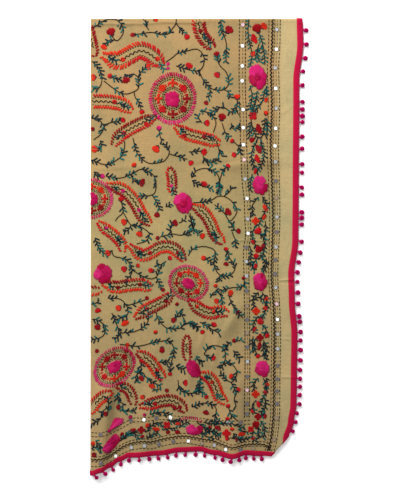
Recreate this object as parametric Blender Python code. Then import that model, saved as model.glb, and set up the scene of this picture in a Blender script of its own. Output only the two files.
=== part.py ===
"""Phulkari shawl, folded in four and laid flat, in metres, +Z up.

The cut is one rectangle of cloth. It is folded once along its middle and once across it, so a quarter of it
shows from above: a fold on the left and at the top, the bound free edges on the right and at the foot.
The showing quarter is a wall with the cloth's soft folds. The three quarters under it share one layered pad.
"""

import math

import bmesh
import bpy
from mathutils import Vector

# The quarter that shows, from its folds to its bound edges
QUARTER_WIDTH = 0.512
QUARTER_LENGTH = 1.090

# Cloth, binding and trim
CLOTH = 0.0015
BINDING = 0.0010
SIDE_BINDING_WIDTH = 0.0145
HEM_BINDING_WIDTH = 0.0120
SEAM_GAP = 0.0005
TRIM_GAP = 0.0008
MITRE_GAP = 0.0015
POMPOM_RADIUS = 0.0052
POMPOM_REACH = 0.0092
POMPOM_DROP = 0.0030
TRIM_WIDTH = 0.0020
TRIM_HEIGHT = 0.0014
STEM_WIDTH = 0.0022

# The stack of layers
LAYERS_BELOW = 3
PAD_HEIGHT = 0.0066
PAD_INSET = 0.0150
REST_HEIGHT = PAD_HEIGHT + SEAM_GAP + CLOTH / 2
FOLD_RADIUS = 0.0038
FLOOR_GAP = 0.0005
EDGE_DROOP = 0.0014
DROOP_WIDTH = 0.0120

# The free corner is turned under along a slanting line
CORNER_POINT = (0.4890, 1.0400)
CORNER_SLOPE = math.radians(42)
CORNER_RADIUS = 0.0021
CORNER_STEPS = 4
CORNER_SETBACK = 0.0400

# Where the bound side lies: (along from the top fold, across from the left fold)
SIDE_EDGE = (
    (0.000, 0.526),
    (0.062, 0.5275),
    (0.150, 0.5175),
    (0.425, 0.516),
    (0.550, 0.515),
    (0.637, 0.5045),
    (0.700, 0.506),
    (0.788, 0.5125),
    (0.912, 0.511),
    (0.962, 0.510),
    (1.000, 0.504),
    (1.045, 0.491),
    (1.090, 0.486),
)

# Where the bound hem lies: (across from the left fold, along from the top fold)
HEM_EDGE = (
    (0.000, 1.137),
    (0.020, 1.129),
    (0.048, 1.1175),
    (0.070, 1.103),
    (0.095, 1.0925),
    (0.170, 1.0875),
    (0.220, 1.0795),
    (0.270, 1.0775),
    (0.302, 1.086),
    (0.352, 1.095),
    (0.395, 1.0865),
    (0.435, 1.089),
    (0.512, 1.0925),
)
SIDE_PULL = 0.20
HEM_PULL = 0.30

# Soft folds: start and end (across, along), height, half width on the left and on the right of the crest, and
# whether the fold runs out through the hem
FOLDS = (
    {"start": (0.050, 0.850), "end": (0.022, 1.110), "height": 0.016, "left": 0.032, "right": 0.018, "open": True},
    {"start": (0.150, 0.930), "end": (0.118, 1.110), "height": 0.007, "left": 0.020, "right": 0.024, "open": True},
    {"start": (0.372, 0.690), "end": (0.322, 0.800), "height": 0.008, "left": 0.014, "right": 0.022, "open": False},
    {"start": (0.352, 0.860), "end": (0.356, 1.110), "height": 0.009, "left": 0.026, "right": 0.022, "open": True},
    {"start": (0.246, 0.770), "end": (0.240, 0.960), "height": 0.006, "left": 0.016, "right": 0.016, "open": False},
    {"start": (0.300, 0.365), "end": (0.500, 0.345), "height": 0.005, "left": 0.018, "right": 0.018, "open": False},
    {"start": (0.010, 0.330), "end": (0.160, 0.400), "height": 0.004, "left": 0.030, "right": 0.030, "open": False},
    {"start": (0.455, 0.930), "end": (0.470, 1.110), "height": 0.005, "left": 0.020, "right": 0.018, "open": True},
)
WAVE_HEIGHT = 0.0011
TOP_PUFF = 0.0020
TOP_PUFF_WIDTH = 0.011

# Mesh lines: (up to this distance, in this many steps)
LINES_ACROSS = ((0.090, 11), (0.220, 6), (0.400, 9), (QUARTER_WIDTH - SIDE_BINDING_WIDTH - MITRE_GAP, 4))
LINES_ALONG = ((0.024, 3), (0.330, 8), (0.400, 4), (0.680, 7), (0.860, 7), (QUARTER_LENGTH - HEM_BINDING_WIDTH, 10))
CURL_STEPS = 3

# Pompoms along the side, in stretches as thick or thin as they lie: (from, to, how many)
SIDE_POMPOMS = (
    (0.0225, 0.1660, 5),
    (0.2050, 0.2560, 4),
    (0.2950, 0.3250, 2),
    (0.3610, 0.3800, 2),
    (0.4150, 0.4350, 2),
    (0.4820, 0.5110, 3),
    (0.5525, 0.6025, 3),
    (0.6325, 0.7075, 4),
    (0.7380, 0.7530, 2),
    (0.7825, 0.9600, 9),
    (0.9790, 1.0220, 3),
)
HEM_POMPOMS = ((0.0050, 0.4420, 20),)
SIDE_TRIM = (0.0060, 1.0300)
HEM_TRIM = (0.0020, 0.4480)
UNEVEN = 0.0012
SWAY = 0.30

CLOTH_COLOUR = (0.45, 0.34, 0.16, 1.0)
INNER_COLOUR = (0.42, 0.31, 0.15, 1.0)
BINDING_COLOUR = (0.62, 0.015, 0.07, 1.0)
POMPOM_COLOUR = (0.38, 0.008, 0.09, 1.0)


def smooth(share):
    """0 to 1 with level ends."""
    share = min(max(share, 0.0), 1.0)
    return share * share * (3 - 2 * share)


def along_table(table, where):
    """The second column of a table at a place in its first, on an eased curve through its rows."""
    if where <= table[0][0]:
        return table[0][1]
    for (before, low), (after, high) in zip(table, table[1:]):
        if where <= after:
            return low + (high - low) * smooth((where - before) / (after - before))
    return table[-1][1]


def fold_at(fold, x, y):
    """Height of one fold at a point, and how far it draws the cloth in towards its crest."""
    start, end = Vector(fold["start"]), Vector(fold["end"])
    run = end - start
    length = run.length
    run.normalize()
    side = Vector((-run.y, run.x))
    if side.x < 0:
        side.negate()
    offset = Vector((x, y)) - start
    share = offset.dot(run) / length
    away = offset.dot(side)
    fade = smooth(share * 2.2 + 0.15)
    if not fold["open"]:
        fade *= smooth((1 - share) * 2.2 + 0.15)
    width = fold["right"] if away > 0 else fold["left"]
    height = fold["height"] * fade
    rise = height * math.exp(-((away / width) ** 2))
    mean_width = (fold["left"] + fold["right"]) / 2
    taken_up = 0.63 * height * height / mean_width
    pull = -taken_up / 2 * math.tanh(away / mean_width) * math.exp(-((away / (5 * mean_width)) ** 2))
    return rise, side * pull


def waves(x, y):
    """Broad, low unevenness of cloth that was laid down by hand, never below nothing."""
    slow = math.sin(9 * x + 5 * y + 0.6) * math.sin(11 * y - 4 * x + 1.1)
    quick = math.sin(23 * x - 8 * y) * math.sin(17 * y + 9 * x + 0.4)
    return WAVE_HEIGHT * (1.0 + 0.65 * slow + 0.35 * quick)


def laid(across, along):
    """Where a point of the cloth's middle surface lies: x to the right, y down the cloth and z up.

    Distances run from the two folds, and are negative in the rounded part that turns down over them.
    """
    x, y = max(across, 0.0), max(along, 0.0)
    side_shift = along_table(SIDE_EDGE, y) - QUARTER_WIDTH
    hem_shift = along_table(HEM_EDGE, x) - QUARTER_LENGTH
    x += side_shift * smooth((across - QUARTER_WIDTH + SIDE_PULL) / SIDE_PULL)
    y += hem_shift * smooth((along - QUARTER_LENGTH + HEM_PULL) / HEM_PULL)
    rise = waves(x, y)
    rise += TOP_PUFF * math.exp(-((y / TOP_PUFF_WIDTH) ** 2))
    shift = Vector((0.0, 0.0))
    for fold in FOLDS:
        height, pull = fold_at(fold, x, y)
        rise += height
        shift += pull
    left_hold = smooth(x / 0.03)
    edge_hold = smooth((QUARTER_WIDTH - across) / 0.05)
    hem_hold = smooth((QUARTER_LENGTH - along) / 0.05)
    x += shift.x * left_hold * edge_hold
    y += shift.y * hem_hold
    to_edge = min(QUARTER_WIDTH - across, QUARTER_LENGTH - along)
    droop = EDGE_DROOP * smooth(1 - to_edge / DROOP_WIDTH)
    crest = REST_HEIGHT + rise - droop
    x, turn_left = turned_down(x, -across)
    y, turn_top = turned_down(y, -along)
    left_foot = PAD_HEIGHT / 2
    top_foot = CLOTH / 2 + FLOOR_GAP
    z = crest - (crest - left_foot) * turn_left
    z -= (z - top_foot) * turn_top
    return Vector((x, y, z))


def turned_down(place, beyond):
    """Rounds the cloth over a fold: the place past the fold line, and the share of the drop made there."""
    if beyond <= 0:
        return place, 0.0
    angle = min(beyond / FOLD_RADIUS, math.pi / 2)
    return place - FOLD_RADIUS * math.sin(angle), 1 - math.cos(angle)


def turned_under(point):
    """Rolls what lies past the slanting line at the free corner in under the cloth."""
    out = Vector((math.cos(CORNER_SLOPE), math.sin(CORNER_SLOPE)))
    beyond = (Vector(point[:2]) - Vector(CORNER_POINT)).dot(out)
    if beyond <= 0:
        return point
    half_turn = math.pi * CORNER_RADIUS
    angle = min(beyond, half_turn) / CORNER_RADIUS
    back = max(beyond - half_turn, 0.0)
    shift = CORNER_RADIUS * math.sin(angle) - beyond - back
    down = CORNER_RADIUS * (1 - math.cos(angle))
    return Vector((point.x + out.x * shift, point.y + out.y * shift, point.z - down))


def lines(stretches, last):
    """Distances of the mesh lines: the turned-down part, the stretches of the table, and the bound edge."""
    found = [-FOLD_RADIUS * math.pi / 2 * step / CURL_STEPS for step in range(CURL_STEPS, 0, -1)]
    found.append(0.0)
    start = 0.0
    for end, count in stretches:
        found += [start + (end - start) * step / count for step in range(1, count + 1)]
        start = end
    return found + list(last)


def to_world(point):
    """Photo-like layout, with y down the cloth, to world space with +Y up the cloth."""
    return Vector((point.x, -point.y, point.z))


def cut_at_corner(mesh):
    """Adds edges along the slanting line, so that the turned-under corner is round."""
    out = Vector((math.cos(CORNER_SLOPE), math.sin(CORNER_SLOPE), 0))
    for step in range(CORNER_STEPS):
        beyond = math.pi * CORNER_RADIUS * step / (CORNER_STEPS - 1)
        point = Vector((*CORNER_POINT, 0)) + out * beyond
        everything = mesh.verts[:] + mesh.edges[:] + mesh.faces[:]
        bmesh.ops.bisect_plane(mesh, geom=everything, dist=0.00002, plane_co=point, plane_no=out)


def cloth_surface():
    """The middle surface of the showing quarter, with each face marked as cloth, side binding or hem binding."""
    side_gap = QUARTER_WIDTH - SIDE_BINDING_WIDTH
    across = lines(LINES_ACROSS, (side_gap, QUARTER_WIDTH))
    along = lines(LINES_ALONG, (QUARTER_LENGTH,))
    mesh = bmesh.new()
    part = mesh.faces.layers.int.new("part")
    grid = [[mesh.verts.new(laid(s, t)) for s in across] for t in along]
    for row in range(len(along) - 1):
        for column in range(len(across) - 1):
            face = mesh.faces.new(
                (grid[row][column], grid[row + 1][column], grid[row + 1][column + 1], grid[row][column + 1])
            )
            on_side = across[column] >= side_gap - 1e-6
            on_hem = along[row] >= QUARTER_LENGTH - HEM_BINDING_WIDTH - 1e-6
            at_mitre = across[column + 1] > side_gap - 1e-6
            if on_side:
                face[part] = 1
            elif on_hem and not at_mitre:
                face[part] = 2
    cut_at_corner(mesh)
    for vertex in mesh.verts:
        vertex.co = to_world(turned_under(vertex.co))
    mesh.normal_update()
    return mesh


def finish(name, mesh, colour, roughness=0.85):
    """A mesh made into a named object with its own material."""
    data = bpy.data.meshes.new(name)
    mesh.to_mesh(data)
    mesh.free()
    material = bpy.data.materials.new(name)
    material.use_nodes = True
    shader = material.node_tree.nodes["Principled BSDF"]
    shader.inputs["Base Color"].default_value = colour
    shader.inputs["Roughness"].default_value = roughness
    shader.inputs["Metallic"].default_value = 0.0
    material.diffuse_color = colour
    data.materials.append(material)
    part = bpy.data.objects.new(name, data)
    bpy.context.scene.collection.objects.link(part)
    return part


def thicken(part, thickness):
    """Gives a surface its wall, half of it on each side."""
    wall = part.modifiers.new("wall", "SOLIDIFY")
    wall.thickness = thickness
    wall.offset = 0.0
    return part


def make_cloth(surface):
    """The showing quarter as a wall."""
    return thicken(finish("cloth_face", surface.copy(), CLOTH_COLOUR), CLOTH)


def make_binding(name, surface, mark):
    """A strip of binding made from the cloth's own points, moved out from it."""
    strip = surface.copy()
    layer = strip.faces.layers.int["part"]
    lift = CLOTH / 2 + SEAM_GAP + BINDING / 2
    for vertex in strip.verts:
        vertex.co += vertex.normal * lift
    rest = [face for face in strip.faces if face[layer] != mark]
    bmesh.ops.delete(strip, geom=rest, context="FACES")
    strip.normal_update()
    return thicken(finish(name, strip, BINDING_COLOUR, 0.6), BINDING)


def pad_outline(inset_free, inset_left, inset_top):
    """The layers' outline from above, drawn in from each edge, and set back behind the corner's flap."""
    left, top = inset_left, inset_top
    blunt = 0.004

    def side(y):
        return along_table(SIDE_EDGE, y) - inset_free

    def hem(x):
        return along_table(HEM_EDGE, x) - inset_free

    foot = hem(0.48)
    right = side(foot)
    points = [(left + (side(0) - left) * step / 8, top) for step in range(1, 8)]
    points += [(side(0) - blunt, top), (side(0) - blunt * 0.3, top + blunt * 0.3)]
    points += [(side(y), y) for y in (foot * step / 30 + blunt * (step == 0) for step in range(30))]
    points.append((right, foot))
    points += [(x, hem(x)) for x in (right - (right - left) * step / 20 for step in range(1, 20))]
    points += [(left + blunt, hem(left)), (left + blunt * 0.3, hem(left) - blunt * 0.3)]
    points += [(left, top + (hem(left) - top) * step / 12 - blunt * (step == 12)) for step in range(12, 0, -1)]
    points += [(left, top + blunt), (left + blunt * 0.3, top + blunt * 0.3)]
    return [behind_corner(point, inset_free - PAD_INSET) for point in points]


def behind_corner(point, more):
    """Draws a point back behind the slanting line where the corner's flap lies."""
    out = Vector((math.cos(CORNER_SLOPE), math.sin(CORNER_SLOPE)))
    beyond = (Vector(point) - Vector(CORNER_POINT)).dot(out) + CORNER_SETBACK + more
    return Vector(point) - out * max(beyond, 0.0)


def pad_rings():
    """Rings of the layered pad from the floor up: (height, inset at free edges, at the left fold, at the top fold)."""
    layer = PAD_HEIGHT / LAYERS_BELOW
    groove = 0.0016
    free_insets = (PAD_INSET, PAD_INSET + 0.0022, PAD_INSET - 0.0014)
    fold_clear = FOLD_RADIUS - CLOTH
    top_clear = 0.0010
    rings = []
    for index, free in enumerate(free_insets):
        low = index * layer
        under_fold = index * layer + layer / 2 > PAD_HEIGHT / 2 - CLOTH
        left = 0.0012 if under_fold else -fold_clear
        for share, drawn_in in ((0.0, groove), (0.28, 0.0003), (0.5, 0.0), (0.72, 0.0003)):
            rings.append((low + layer * share, free + drawn_in, left + drawn_in, top_clear + drawn_in))
    rings.append((PAD_HEIGHT, free_insets[-1] + groove, 0.0012 + groove, top_clear + groove))
    return rings


def make_pad():
    """The three hidden quarters as one solid, flat beneath and layered at its edges."""
    mesh = bmesh.new()
    loops = []
    for height, free, left, top in pad_rings():
        outline = pad_outline(free, left, top)
        loops.append([mesh.verts.new(to_world(Vector((x, y, height)))) for x, y in outline])
    for lower, upper in zip(loops, loops[1:]):
        count = len(lower)
        for index in range(count):
            after = (index + 1) % count
            mesh.faces.new((lower[after], lower[index], upper[index], upper[after]))
    mesh.faces.new(loops[0])
    mesh.faces.new(reversed(loops[-1]))
    bmesh.ops.recalc_face_normals(mesh, faces=mesh.faces)
    return finish("cloth_layers", mesh, INNER_COLOUR)


def uneven_places(stretches, seed):
    """Places along an edge, with the small unevenness of a hand-sewn trim."""
    found = []
    for start, end, count in stretches:
        for index in range(count):
            wander = math.sin(12.9898 * (index + seed) + 78.233 * start) * UNEVEN
            found.append(start + (end - start) * index / (count - 1) + wander)
    return found


class Edge:
    """A free edge of the wall, as the straight runs between its own points."""

    def __init__(self, on_side):
        self.on_side = on_side
        side_gap = QUARTER_WIDTH - SIDE_BINDING_WIDTH
        stretches = LINES_ALONG if on_side else LINES_ACROSS
        last = (QUARTER_LENGTH,) if on_side else (side_gap, QUARTER_WIDTH)
        self.places = [place for place in lines(stretches, last) if place >= 0]
        spots = [(QUARTER_WIDTH, place) if on_side else (place, QUARTER_LENGTH) for place in self.places]
        self.points = [to_world(laid(*spot)) for spot in spots]

    def at(self, where):
        """The point of the edge at a distance from the fold."""
        where = min(max(where, self.places[0]), self.places[-1])
        for index in range(1, len(self.places)):
            if where <= self.places[index]:
                break
        start, end = self.places[index - 1], self.places[index]
        return self.points[index - 1].lerp(self.points[index], (where - start) / (end - start))

    def frame(self, where):
        """The point at a place, the level way out of the cloth and the way along its edge."""
        step = 0.0006
        way = (self.at(where + step) - self.at(where - step)).normalized()
        out = way.cross(Vector((0, 0, 1))).normalized()
        if out.dot(Vector((1, 0, 0)) if self.on_side else Vector((0, -1, 0))) < 0:
            out.negate()
        return self.at(where), out, way


def trim_ring(mesh, edge, where):
    """Four corners of the trim's strip at a place: inner low, inner high, outer high, outer low."""
    point, out, _ = edge.frame(where)
    inner = point + out * TRIM_GAP
    outer = inner + out * TRIM_WIDTH
    up = Vector((0, 0, TRIM_HEIGHT / 2))
    return [mesh.verts.new(spot) for spot in (inner - up, inner + up, outer + up, outer - up)]


def add_pompom(mesh, root, edge, where, sway):
    """Draws a stem and a four-sided ball out of one face of the strip."""
    point, out, way = edge.frame(where)
    way = Vector((way.x, way.y, 0)).normalized()
    reach = (out + way * sway).normalized()
    centre = point + reach * POMPOM_REACH
    centre.z = max(point.z - POMPOM_DROP, POMPOM_RADIUS + FLOOR_GAP)
    rings = ((-0.96, 0.26), (-0.50, 0.80), (0.10, 0.96), (0.66, 0.70), (0.98, 0.24))
    before = root
    up = Vector((0, 0, 1))
    for ahead, share in rings:
        size = POMPOM_RADIUS * share
        middle = centre + reach * POMPOM_RADIUS * ahead
        spots = [middle + way * (size * a) + up * (size * b) for a, b in ((-1, 1), (-1, -1), (1, -1), (1, 1))]
        ring = [mesh.verts.new(spot) for spot in spots]
        for index in range(4):
            after = (index + 1) % 4
            mesh.faces.new((before[index], before[after], ring[after], ring[index]))
        before = ring
    mesh.faces.new(before)


def make_pompoms(name, on_side, stretches, ends):
    """A narrow strip parted from the cloth's edge, with the pompoms fused to it."""
    mesh = bmesh.new()
    edge = Edge(on_side)
    places = uneven_places(stretches, 1 if on_side else 4)
    stations = {ends[0]: None, ends[1]: None}
    for place in edge.places:
        if ends[0] < place < ends[1] and min(abs(place - other) for other in places) > STEM_WIDTH:
            stations[place] = None
    for index, place in enumerate(places):
        stations[place - STEM_WIDTH / 2] = (place, SWAY * math.sin(7.3 * index + 1.3))
        stations[place + STEM_WIDTH / 2] = None
    order = sorted(stations)
    rings = [trim_ring(mesh, edge, where) for where in order]
    mesh.faces.new(rings[0])
    mesh.faces.new(rings[-1])
    for where, before, after in zip(order, rings, rings[1:]):
        for corner in range(4):
            following = (corner + 1) % 4
            quad = (before[corner], before[following], after[following], after[corner])
            if corner == 2 and stations[where]:
                add_pompom(mesh, quad, edge, *stations[where])
            else:
                mesh.faces.new(quad)
    bmesh.ops.recalc_face_normals(mesh, faces=mesh.faces)
    return finish(name, mesh, POMPOM_COLOUR, 0.9)


def centre_on_base(parts):
    """Moves everything so that the origin is at the middle of the whole box's underside."""
    bpy.context.view_layer.update()
    graph = bpy.context.evaluated_depsgraph_get()
    corners = []
    for part in parts:
        seen = part.evaluated_get(graph)
        corners += [seen.matrix_world @ Vector(corner) for corner in seen.bound_box]
    low = Vector([min(c[axis] for c in corners) for axis in range(3)])
    high = Vector([max(c[axis] for c in corners) for axis in range(3)])
    shift = Vector((-(low.x + high.x) / 2, -(low.y + high.y) / 2, -low.z))
    for part in parts:
        part.location = shift


def main():
    """Builds the folded shawl."""
    for old in list(bpy.data.objects):
        bpy.data.objects.remove(old, do_unlink=True)
    surface = cloth_surface()
    parts = [
        make_cloth(surface),
        make_pad(),
        make_binding("side_binding", surface, 1),
        make_binding("hem_binding", surface, 2),
        make_pompoms("side_pompoms", True, SIDE_POMPOMS, SIDE_TRIM),
        make_pompoms("hem_pompoms", False, HEM_POMPOMS, HEM_TRIM),
    ]
    surface.free()
    centre_on_base(parts)


main()
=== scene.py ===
"""Phulkari shawl, folded in four and laid flat: its cloth, tapes, pompoms, embroidery and mirrors."""

import math
import random

import bmesh
import bpy
from bpy.props import FloatProperty, FloatVectorProperty, PointerProperty
from mathutils import Matrix, Vector
from mathutils.bvhtree import BVHTree


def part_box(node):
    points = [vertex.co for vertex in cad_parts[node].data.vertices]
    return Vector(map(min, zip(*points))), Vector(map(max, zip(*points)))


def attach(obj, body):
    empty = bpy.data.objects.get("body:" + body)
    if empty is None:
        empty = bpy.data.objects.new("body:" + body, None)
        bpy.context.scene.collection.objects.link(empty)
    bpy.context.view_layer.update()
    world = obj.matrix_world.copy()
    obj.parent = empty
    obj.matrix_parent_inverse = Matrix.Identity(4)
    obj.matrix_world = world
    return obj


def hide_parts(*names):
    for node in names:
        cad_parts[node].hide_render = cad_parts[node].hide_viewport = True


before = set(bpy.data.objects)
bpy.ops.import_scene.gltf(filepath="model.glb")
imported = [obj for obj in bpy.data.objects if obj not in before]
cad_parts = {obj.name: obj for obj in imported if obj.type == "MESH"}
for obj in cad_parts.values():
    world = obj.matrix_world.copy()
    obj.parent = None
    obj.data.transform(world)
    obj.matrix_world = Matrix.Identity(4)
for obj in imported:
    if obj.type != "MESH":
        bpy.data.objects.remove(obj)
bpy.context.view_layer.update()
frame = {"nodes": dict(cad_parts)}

bl_info = {
    "name": "Phulkari shawl",
    "version": (1, 0, 0),
    "blender": (4, 5, 0),
    "location": "View3D > Sidebar > Shawl",
    "description": "Builds a folded embroidered shawl with mirrors, bound edges and a pompom trim",
    "category": "Object",
}

# The chart: motifs are placed on squares of this size, counted from the corner where the two folds meet,
# to the right and down the cloth
SQUARE = 0.0025

# The cloth as the solids have it, in metres
QUARTER_WIDTH = 0.512
QUARTER_LENGTH = 1.090
CLOTH = 0.0015
SIDE_BINDING_WIDTH = 0.0145
HEM_BINDING_WIDTH = 0.0120
MITRE_GAP = 0.0015
SEAM_GAP = 0.0005
PAD_HEIGHT = 0.0066
PAD_INSET = 0.0150
REST_HEIGHT = PAD_HEIGHT + SEAM_GAP + CLOTH / 2
FOLD_RADIUS = 0.0038
FLOOR_GAP = 0.0005
EDGE_DROOP = 0.0014
DROOP_WIDTH = 0.0120
CORNER_POINT = (0.4890, 1.0400)
CORNER_SLOPE = math.radians(42)
CORNER_RADIUS = 0.0021
CORNER_SETBACK = 0.0400
SIDE_PULL = 0.20
HEM_PULL = 0.30
WAVE_HEIGHT = 0.0011
TOP_PUFF = 0.0020
TOP_PUFF_WIDTH = 0.011

# Where the bound side lies: (along from the top fold, across from the left fold)
SIDE_EDGE = (
    (0.0, 0.526), (0.062, 0.5275), (0.15, 0.5175), (0.425, 0.516), (0.55, 0.515), (0.637, 0.5045),
    (0.7, 0.506), (0.788, 0.5125), (0.912, 0.511), (0.962, 0.51), (1.0, 0.504), (1.045, 0.491),
    (1.09, 0.486),
)

# Where the bound hem lies: (across from the left fold, along from the top fold)
HEM_EDGE = (
    (0.0, 1.137), (0.02, 1.129), (0.048, 1.1175), (0.07, 1.103), (0.095, 1.0925), (0.17, 1.0875),
    (0.22, 1.0795), (0.27, 1.0775), (0.302, 1.086), (0.352, 1.095), (0.395, 1.0865), (0.435, 1.089),
    (0.512, 1.0925),
)

# Soft folds: start and end (across, along), height, half width on the left and on the right of the crest, and
# whether the fold runs out through the hem
FOLD_COLUMNS = ("start", "end", "height", "left", "right", "open")
FOLDS = [
    dict(zip(FOLD_COLUMNS, row))
    for row in (
        ((0.05, 0.85), (0.022, 1.11), 0.016, 0.032, 0.018, True),
        ((0.15, 0.93), (0.118, 1.11), 0.007, 0.02, 0.024, True),
        ((0.372, 0.69), (0.322, 0.8), 0.008, 0.014, 0.022, False),
        ((0.352, 0.86), (0.356, 1.11), 0.009, 0.026, 0.022, True),
        ((0.246, 0.77), (0.24, 0.96), 0.006, 0.016, 0.016, False),
        ((0.3, 0.365), (0.5, 0.345), 0.005, 0.018, 0.018, False),
        ((0.01, 0.33), (0.16, 0.4), 0.004, 0.03, 0.03, False),
        ((0.455, 0.93), (0.47, 1.11), 0.005, 0.02, 0.018, True),
    )
]

# Finer creases in chart squares: (start, end, rise in mm, half width in mm); a crease that falls is a trough
CREASES = (
    ((-2, 5), (40, 4), 2.0, 3.0), ((30, 4), (112, 2), 1.6, 2.6), ((104, 146), (152, 141), -2.6, 5.0),
    ((2, 149), (60, 146), 1.1, 4.0), ((140, 221), (184, 220), 1.4, 1.8), ((104, 212), (120, 213), 1.1, 1.8),
    ((186, 260), (203, 260), 2.0, 1.6), ((186, 263), (203, 262), -1.1, 1.8),
    ((186, 357), (204, 358), 1.4, 2.3), ((188, 95), (203, 84), 1.6, 2.2),
    ((190, 319), (198, 320), 1.4, 1.8), ((48, 312), (47, 328), 1.9, 1.6),
    ((128, 311), (146, 284), -2.7, 6.0), ((113, 308), (106, 330), 2.0, 4.0),
    ((126, 316), (120, 352), 1.9, 5.0), ((140, 322), (146, 352), 1.6, 5.0),
    ((22, 372), (24, 396), -1.4, 5.0), ((24, 396), (14, 424), -1.3, 5.5), ((34, 392), (46, 402), 1.9, 4.0),
    ((64, 326), (60, 342), 1.1, 4.0), ((84, 392), (96, 402), -3.6, 6.0), ((60, 402), (92, 396), 1.9, 4.0),
    ((96, 404), (116, 398), 2.0, 4.0), ((112, 372), (118, 396), 1.9, 4.0),
    ((148, 360), (150, 398), 1.9, 5.0), ((176, 404), (186, 424), -1.9, 5.0),
    ((188, 380), (198, 402), 1.4, 5.0), ((66, 130), (80, 176), 0.9, 7.0), ((8, 60), (30, 96), 0.9, 8.0),
    ((112, 40), (140, 76), 0.9, 8.0), ((86, 228), (70, 262), 0.9, 7.0),
)

# How far a crease wavers, how far it runs on past its ends, and the length over which it fades there
CREASE_BEND = 0.0012
CREASE_RUN = 0.012
CREASE_FADE = 0.030

# The embroidered field is darker and warmer than the margin: where it ends, where its tone changes down the
# cloth, and its tones down the cloth with the share of that length at which each is reached. The tones down
# the cloth are painted shade, darkest towards the top fold, set against the fall of the lamp's light
FIELD_END = (180.0, 192.0)
FIELD_LENGTH = (60.0, 400.0)
FIELD_SHADE_TONES = ((0.0, (0.753, 0.630, 0.543)), (0.4, (0.768, 0.772, 0.679)), (1.0, (0.836, 0.746, 0.692)))

# How the cotton's tint changes from patch to patch: (place on the ramp, share of red, green and blue)
PATCH_TINTS = ((0.35, (0.90, 0.98, 0.98)), (0.65, (1.07, 1.01, 0.96)))

# How much higher the puckers of the cloth are than its yarns
PUCKER = 6.0

# Mesh steps of the visible cloth
CURL_STEPS = 5
CORNER_STEPS = 8

# Trim
POMPOM_REACHES = {"side_trim": 0.0094, "hem_trim": 0.0094}
POMPOM_SHARES = {"side_trim": 0.97, "hem_trim": 0.82}
TUCKED_FROM = 388
TUCKED_SIZE = 0.86
TUCKED_REACH = 0.62
STEM_WIDTHS = {"side_trim": 0.0046, "hem_trim": 0.0052}
POMPOM_DROP = 0.0030
TRIM_GAP = 0.0002
TRIM_WIDTH = 0.0017
SIDE_POMPOMS = (
    (0.0225, 0.166, 5), (0.205, 0.256, 4), (0.295, 0.325, 2), (0.361, 0.38, 2), (0.415, 0.435, 2),
    (0.482, 0.511, 3), (0.5525, 0.6025, 3), (0.6325, 0.7075, 4), (0.738, 0.753, 2), (0.7825, 0.96, 9),
    (0.979, 1.022, 3),
)
HEM_POMPOMS = ((0.0050, 0.4420, 20),)
SIDE_TRIM = (0.0060, 1.0300)
HEM_TRIM = (0.0020, 0.4480)
UNEVEN = 0.0012
SWAY = 0.30

# One pompom: its core and the ball that its tufts sit on, as shares of its radius, and how tuft lengths vary
POMPOM_CORE = 0.70
TUFT_SEATS = 0.56
TUFT_SPREAD = (0.75, 1.18)

# Extra mesh lines go to creases narrower than this, in mm, that fall less than this many squares
NARROW = 3.0
LEVEL_DROP = 3.0

# Hidden layers, tapes and the braid of the trim
LAYERS_BELOW = 3
PAD_STEPS = 8
PAD_GROOVE = 0.0016
TAPE = 0.0007
TAPE_CROWN = 0.0004
TAPE_PARTS = 8
BRAID_STEP = 0.0016
BRAID_TURN = 1.1
BRAID_SIDES = 5

# Stage, in metres, watts and chart squares
FLOOR_SIZE = 8.0
FRAME_CENTRE = (108.0, 230.0)
FRAME_HEIGHT = 1.25
LENS = 85.0
SENSOR = 36.0
ROOM_LIGHT = 0.60
FLOOR_GLOW = 0.14
TOP_WATTS = 135.0

# Mirrors: how silvered they are, their corners, their rings as (share of the width, height), how square they
# are, the stitches of a frame, and the painted reflection of each kind, as the light it gives back
MIRROR_SILVER = 0.3
MIRROR_SIDES = 16
MIRROR_RINGS = ((1.0, 0.0001), (1.0, 0.0006), (0.9, 0.0009))
MIRROR_SQUARED = 0.13
FRAME_STITCHES = 16
MIRROR_PAINTED_REFLECTIONS = {
    "white": (0.80, 0.82, 0.80),
    "grey": (0.34, 0.35, 0.36),
    "dark": (0.11, 0.10, 0.115),
    "rosy": (0.60, 0.38, 0.42),
    "brown": (0.25, 0.17, 0.12),
}

# Stems and leaves, in chart squares, and how large the leaves and buds of the borders are beside the others
STEM_STITCH = 2.1
STEM_WIDTH = 1.25
LEAF_PITCH = 1.8
LEAF_LENGTH = 4.6
LEAF_WIDTH = 1.85
BORDER_LEAF = 0.90
BORDER_BUD = 1.07

# The share of bright leaves, and the top right part of the chart where they are many
BRIGHT_SHARE = 0.37
BRIGHT_AT_TOP = 0.80
BRIGHT_CORNER = (118, 75)

# Fillings, strokes, dashes and lobes: pitches and widths in chart squares, the lift of a lobe in metres, and
# the rest as shares or counts
FILL_PITCH = 0.80
STROKE_PITCH = 2.6
STROKE_WIDTH = 2.0
STROKE_SLANT = 0.75
DASH_WIDTH = 1.2
DASH = 2.5
DASH_PITCH = 3.7
LOBE_PITCH = 0.95
LOBE_DROP = 0.20
LOBE_SWELL = 1.04
LOBE_LIFT = 0.00007
RIM_PITCH = 2.4
CURVE_PARTS = 10
DASHES_FIT = 2.6
SHADE_SPREAD = 0.15

# Stitches: the height of one as a share of half its width, how far it stands out of the cloth, the least
# height and length in metres, and the steepest cloth that is sewn on
PLUMPNESS = 0.75
SUNK = 0.45
THINNEST = 0.00035
SHORTEST = 0.0008
STEEPEST = 0.30


# How the cloth lies


def smooth(share):
    """0 to 1 with level ends."""
    share = min(max(share, 0.0), 1.0)
    return share * share * (3 - 2 * share)


def along_table(table, where):
    """The second column of a table at a place in its first, on an eased curve through its rows."""
    if where <= table[0][0]:
        return table[0][1]
    for (before, low), (after, high) in zip(table, table[1:]):
        if where <= after:
            return low + (high - low) * smooth((where - before) / (after - before))
    return table[-1][1]


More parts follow.
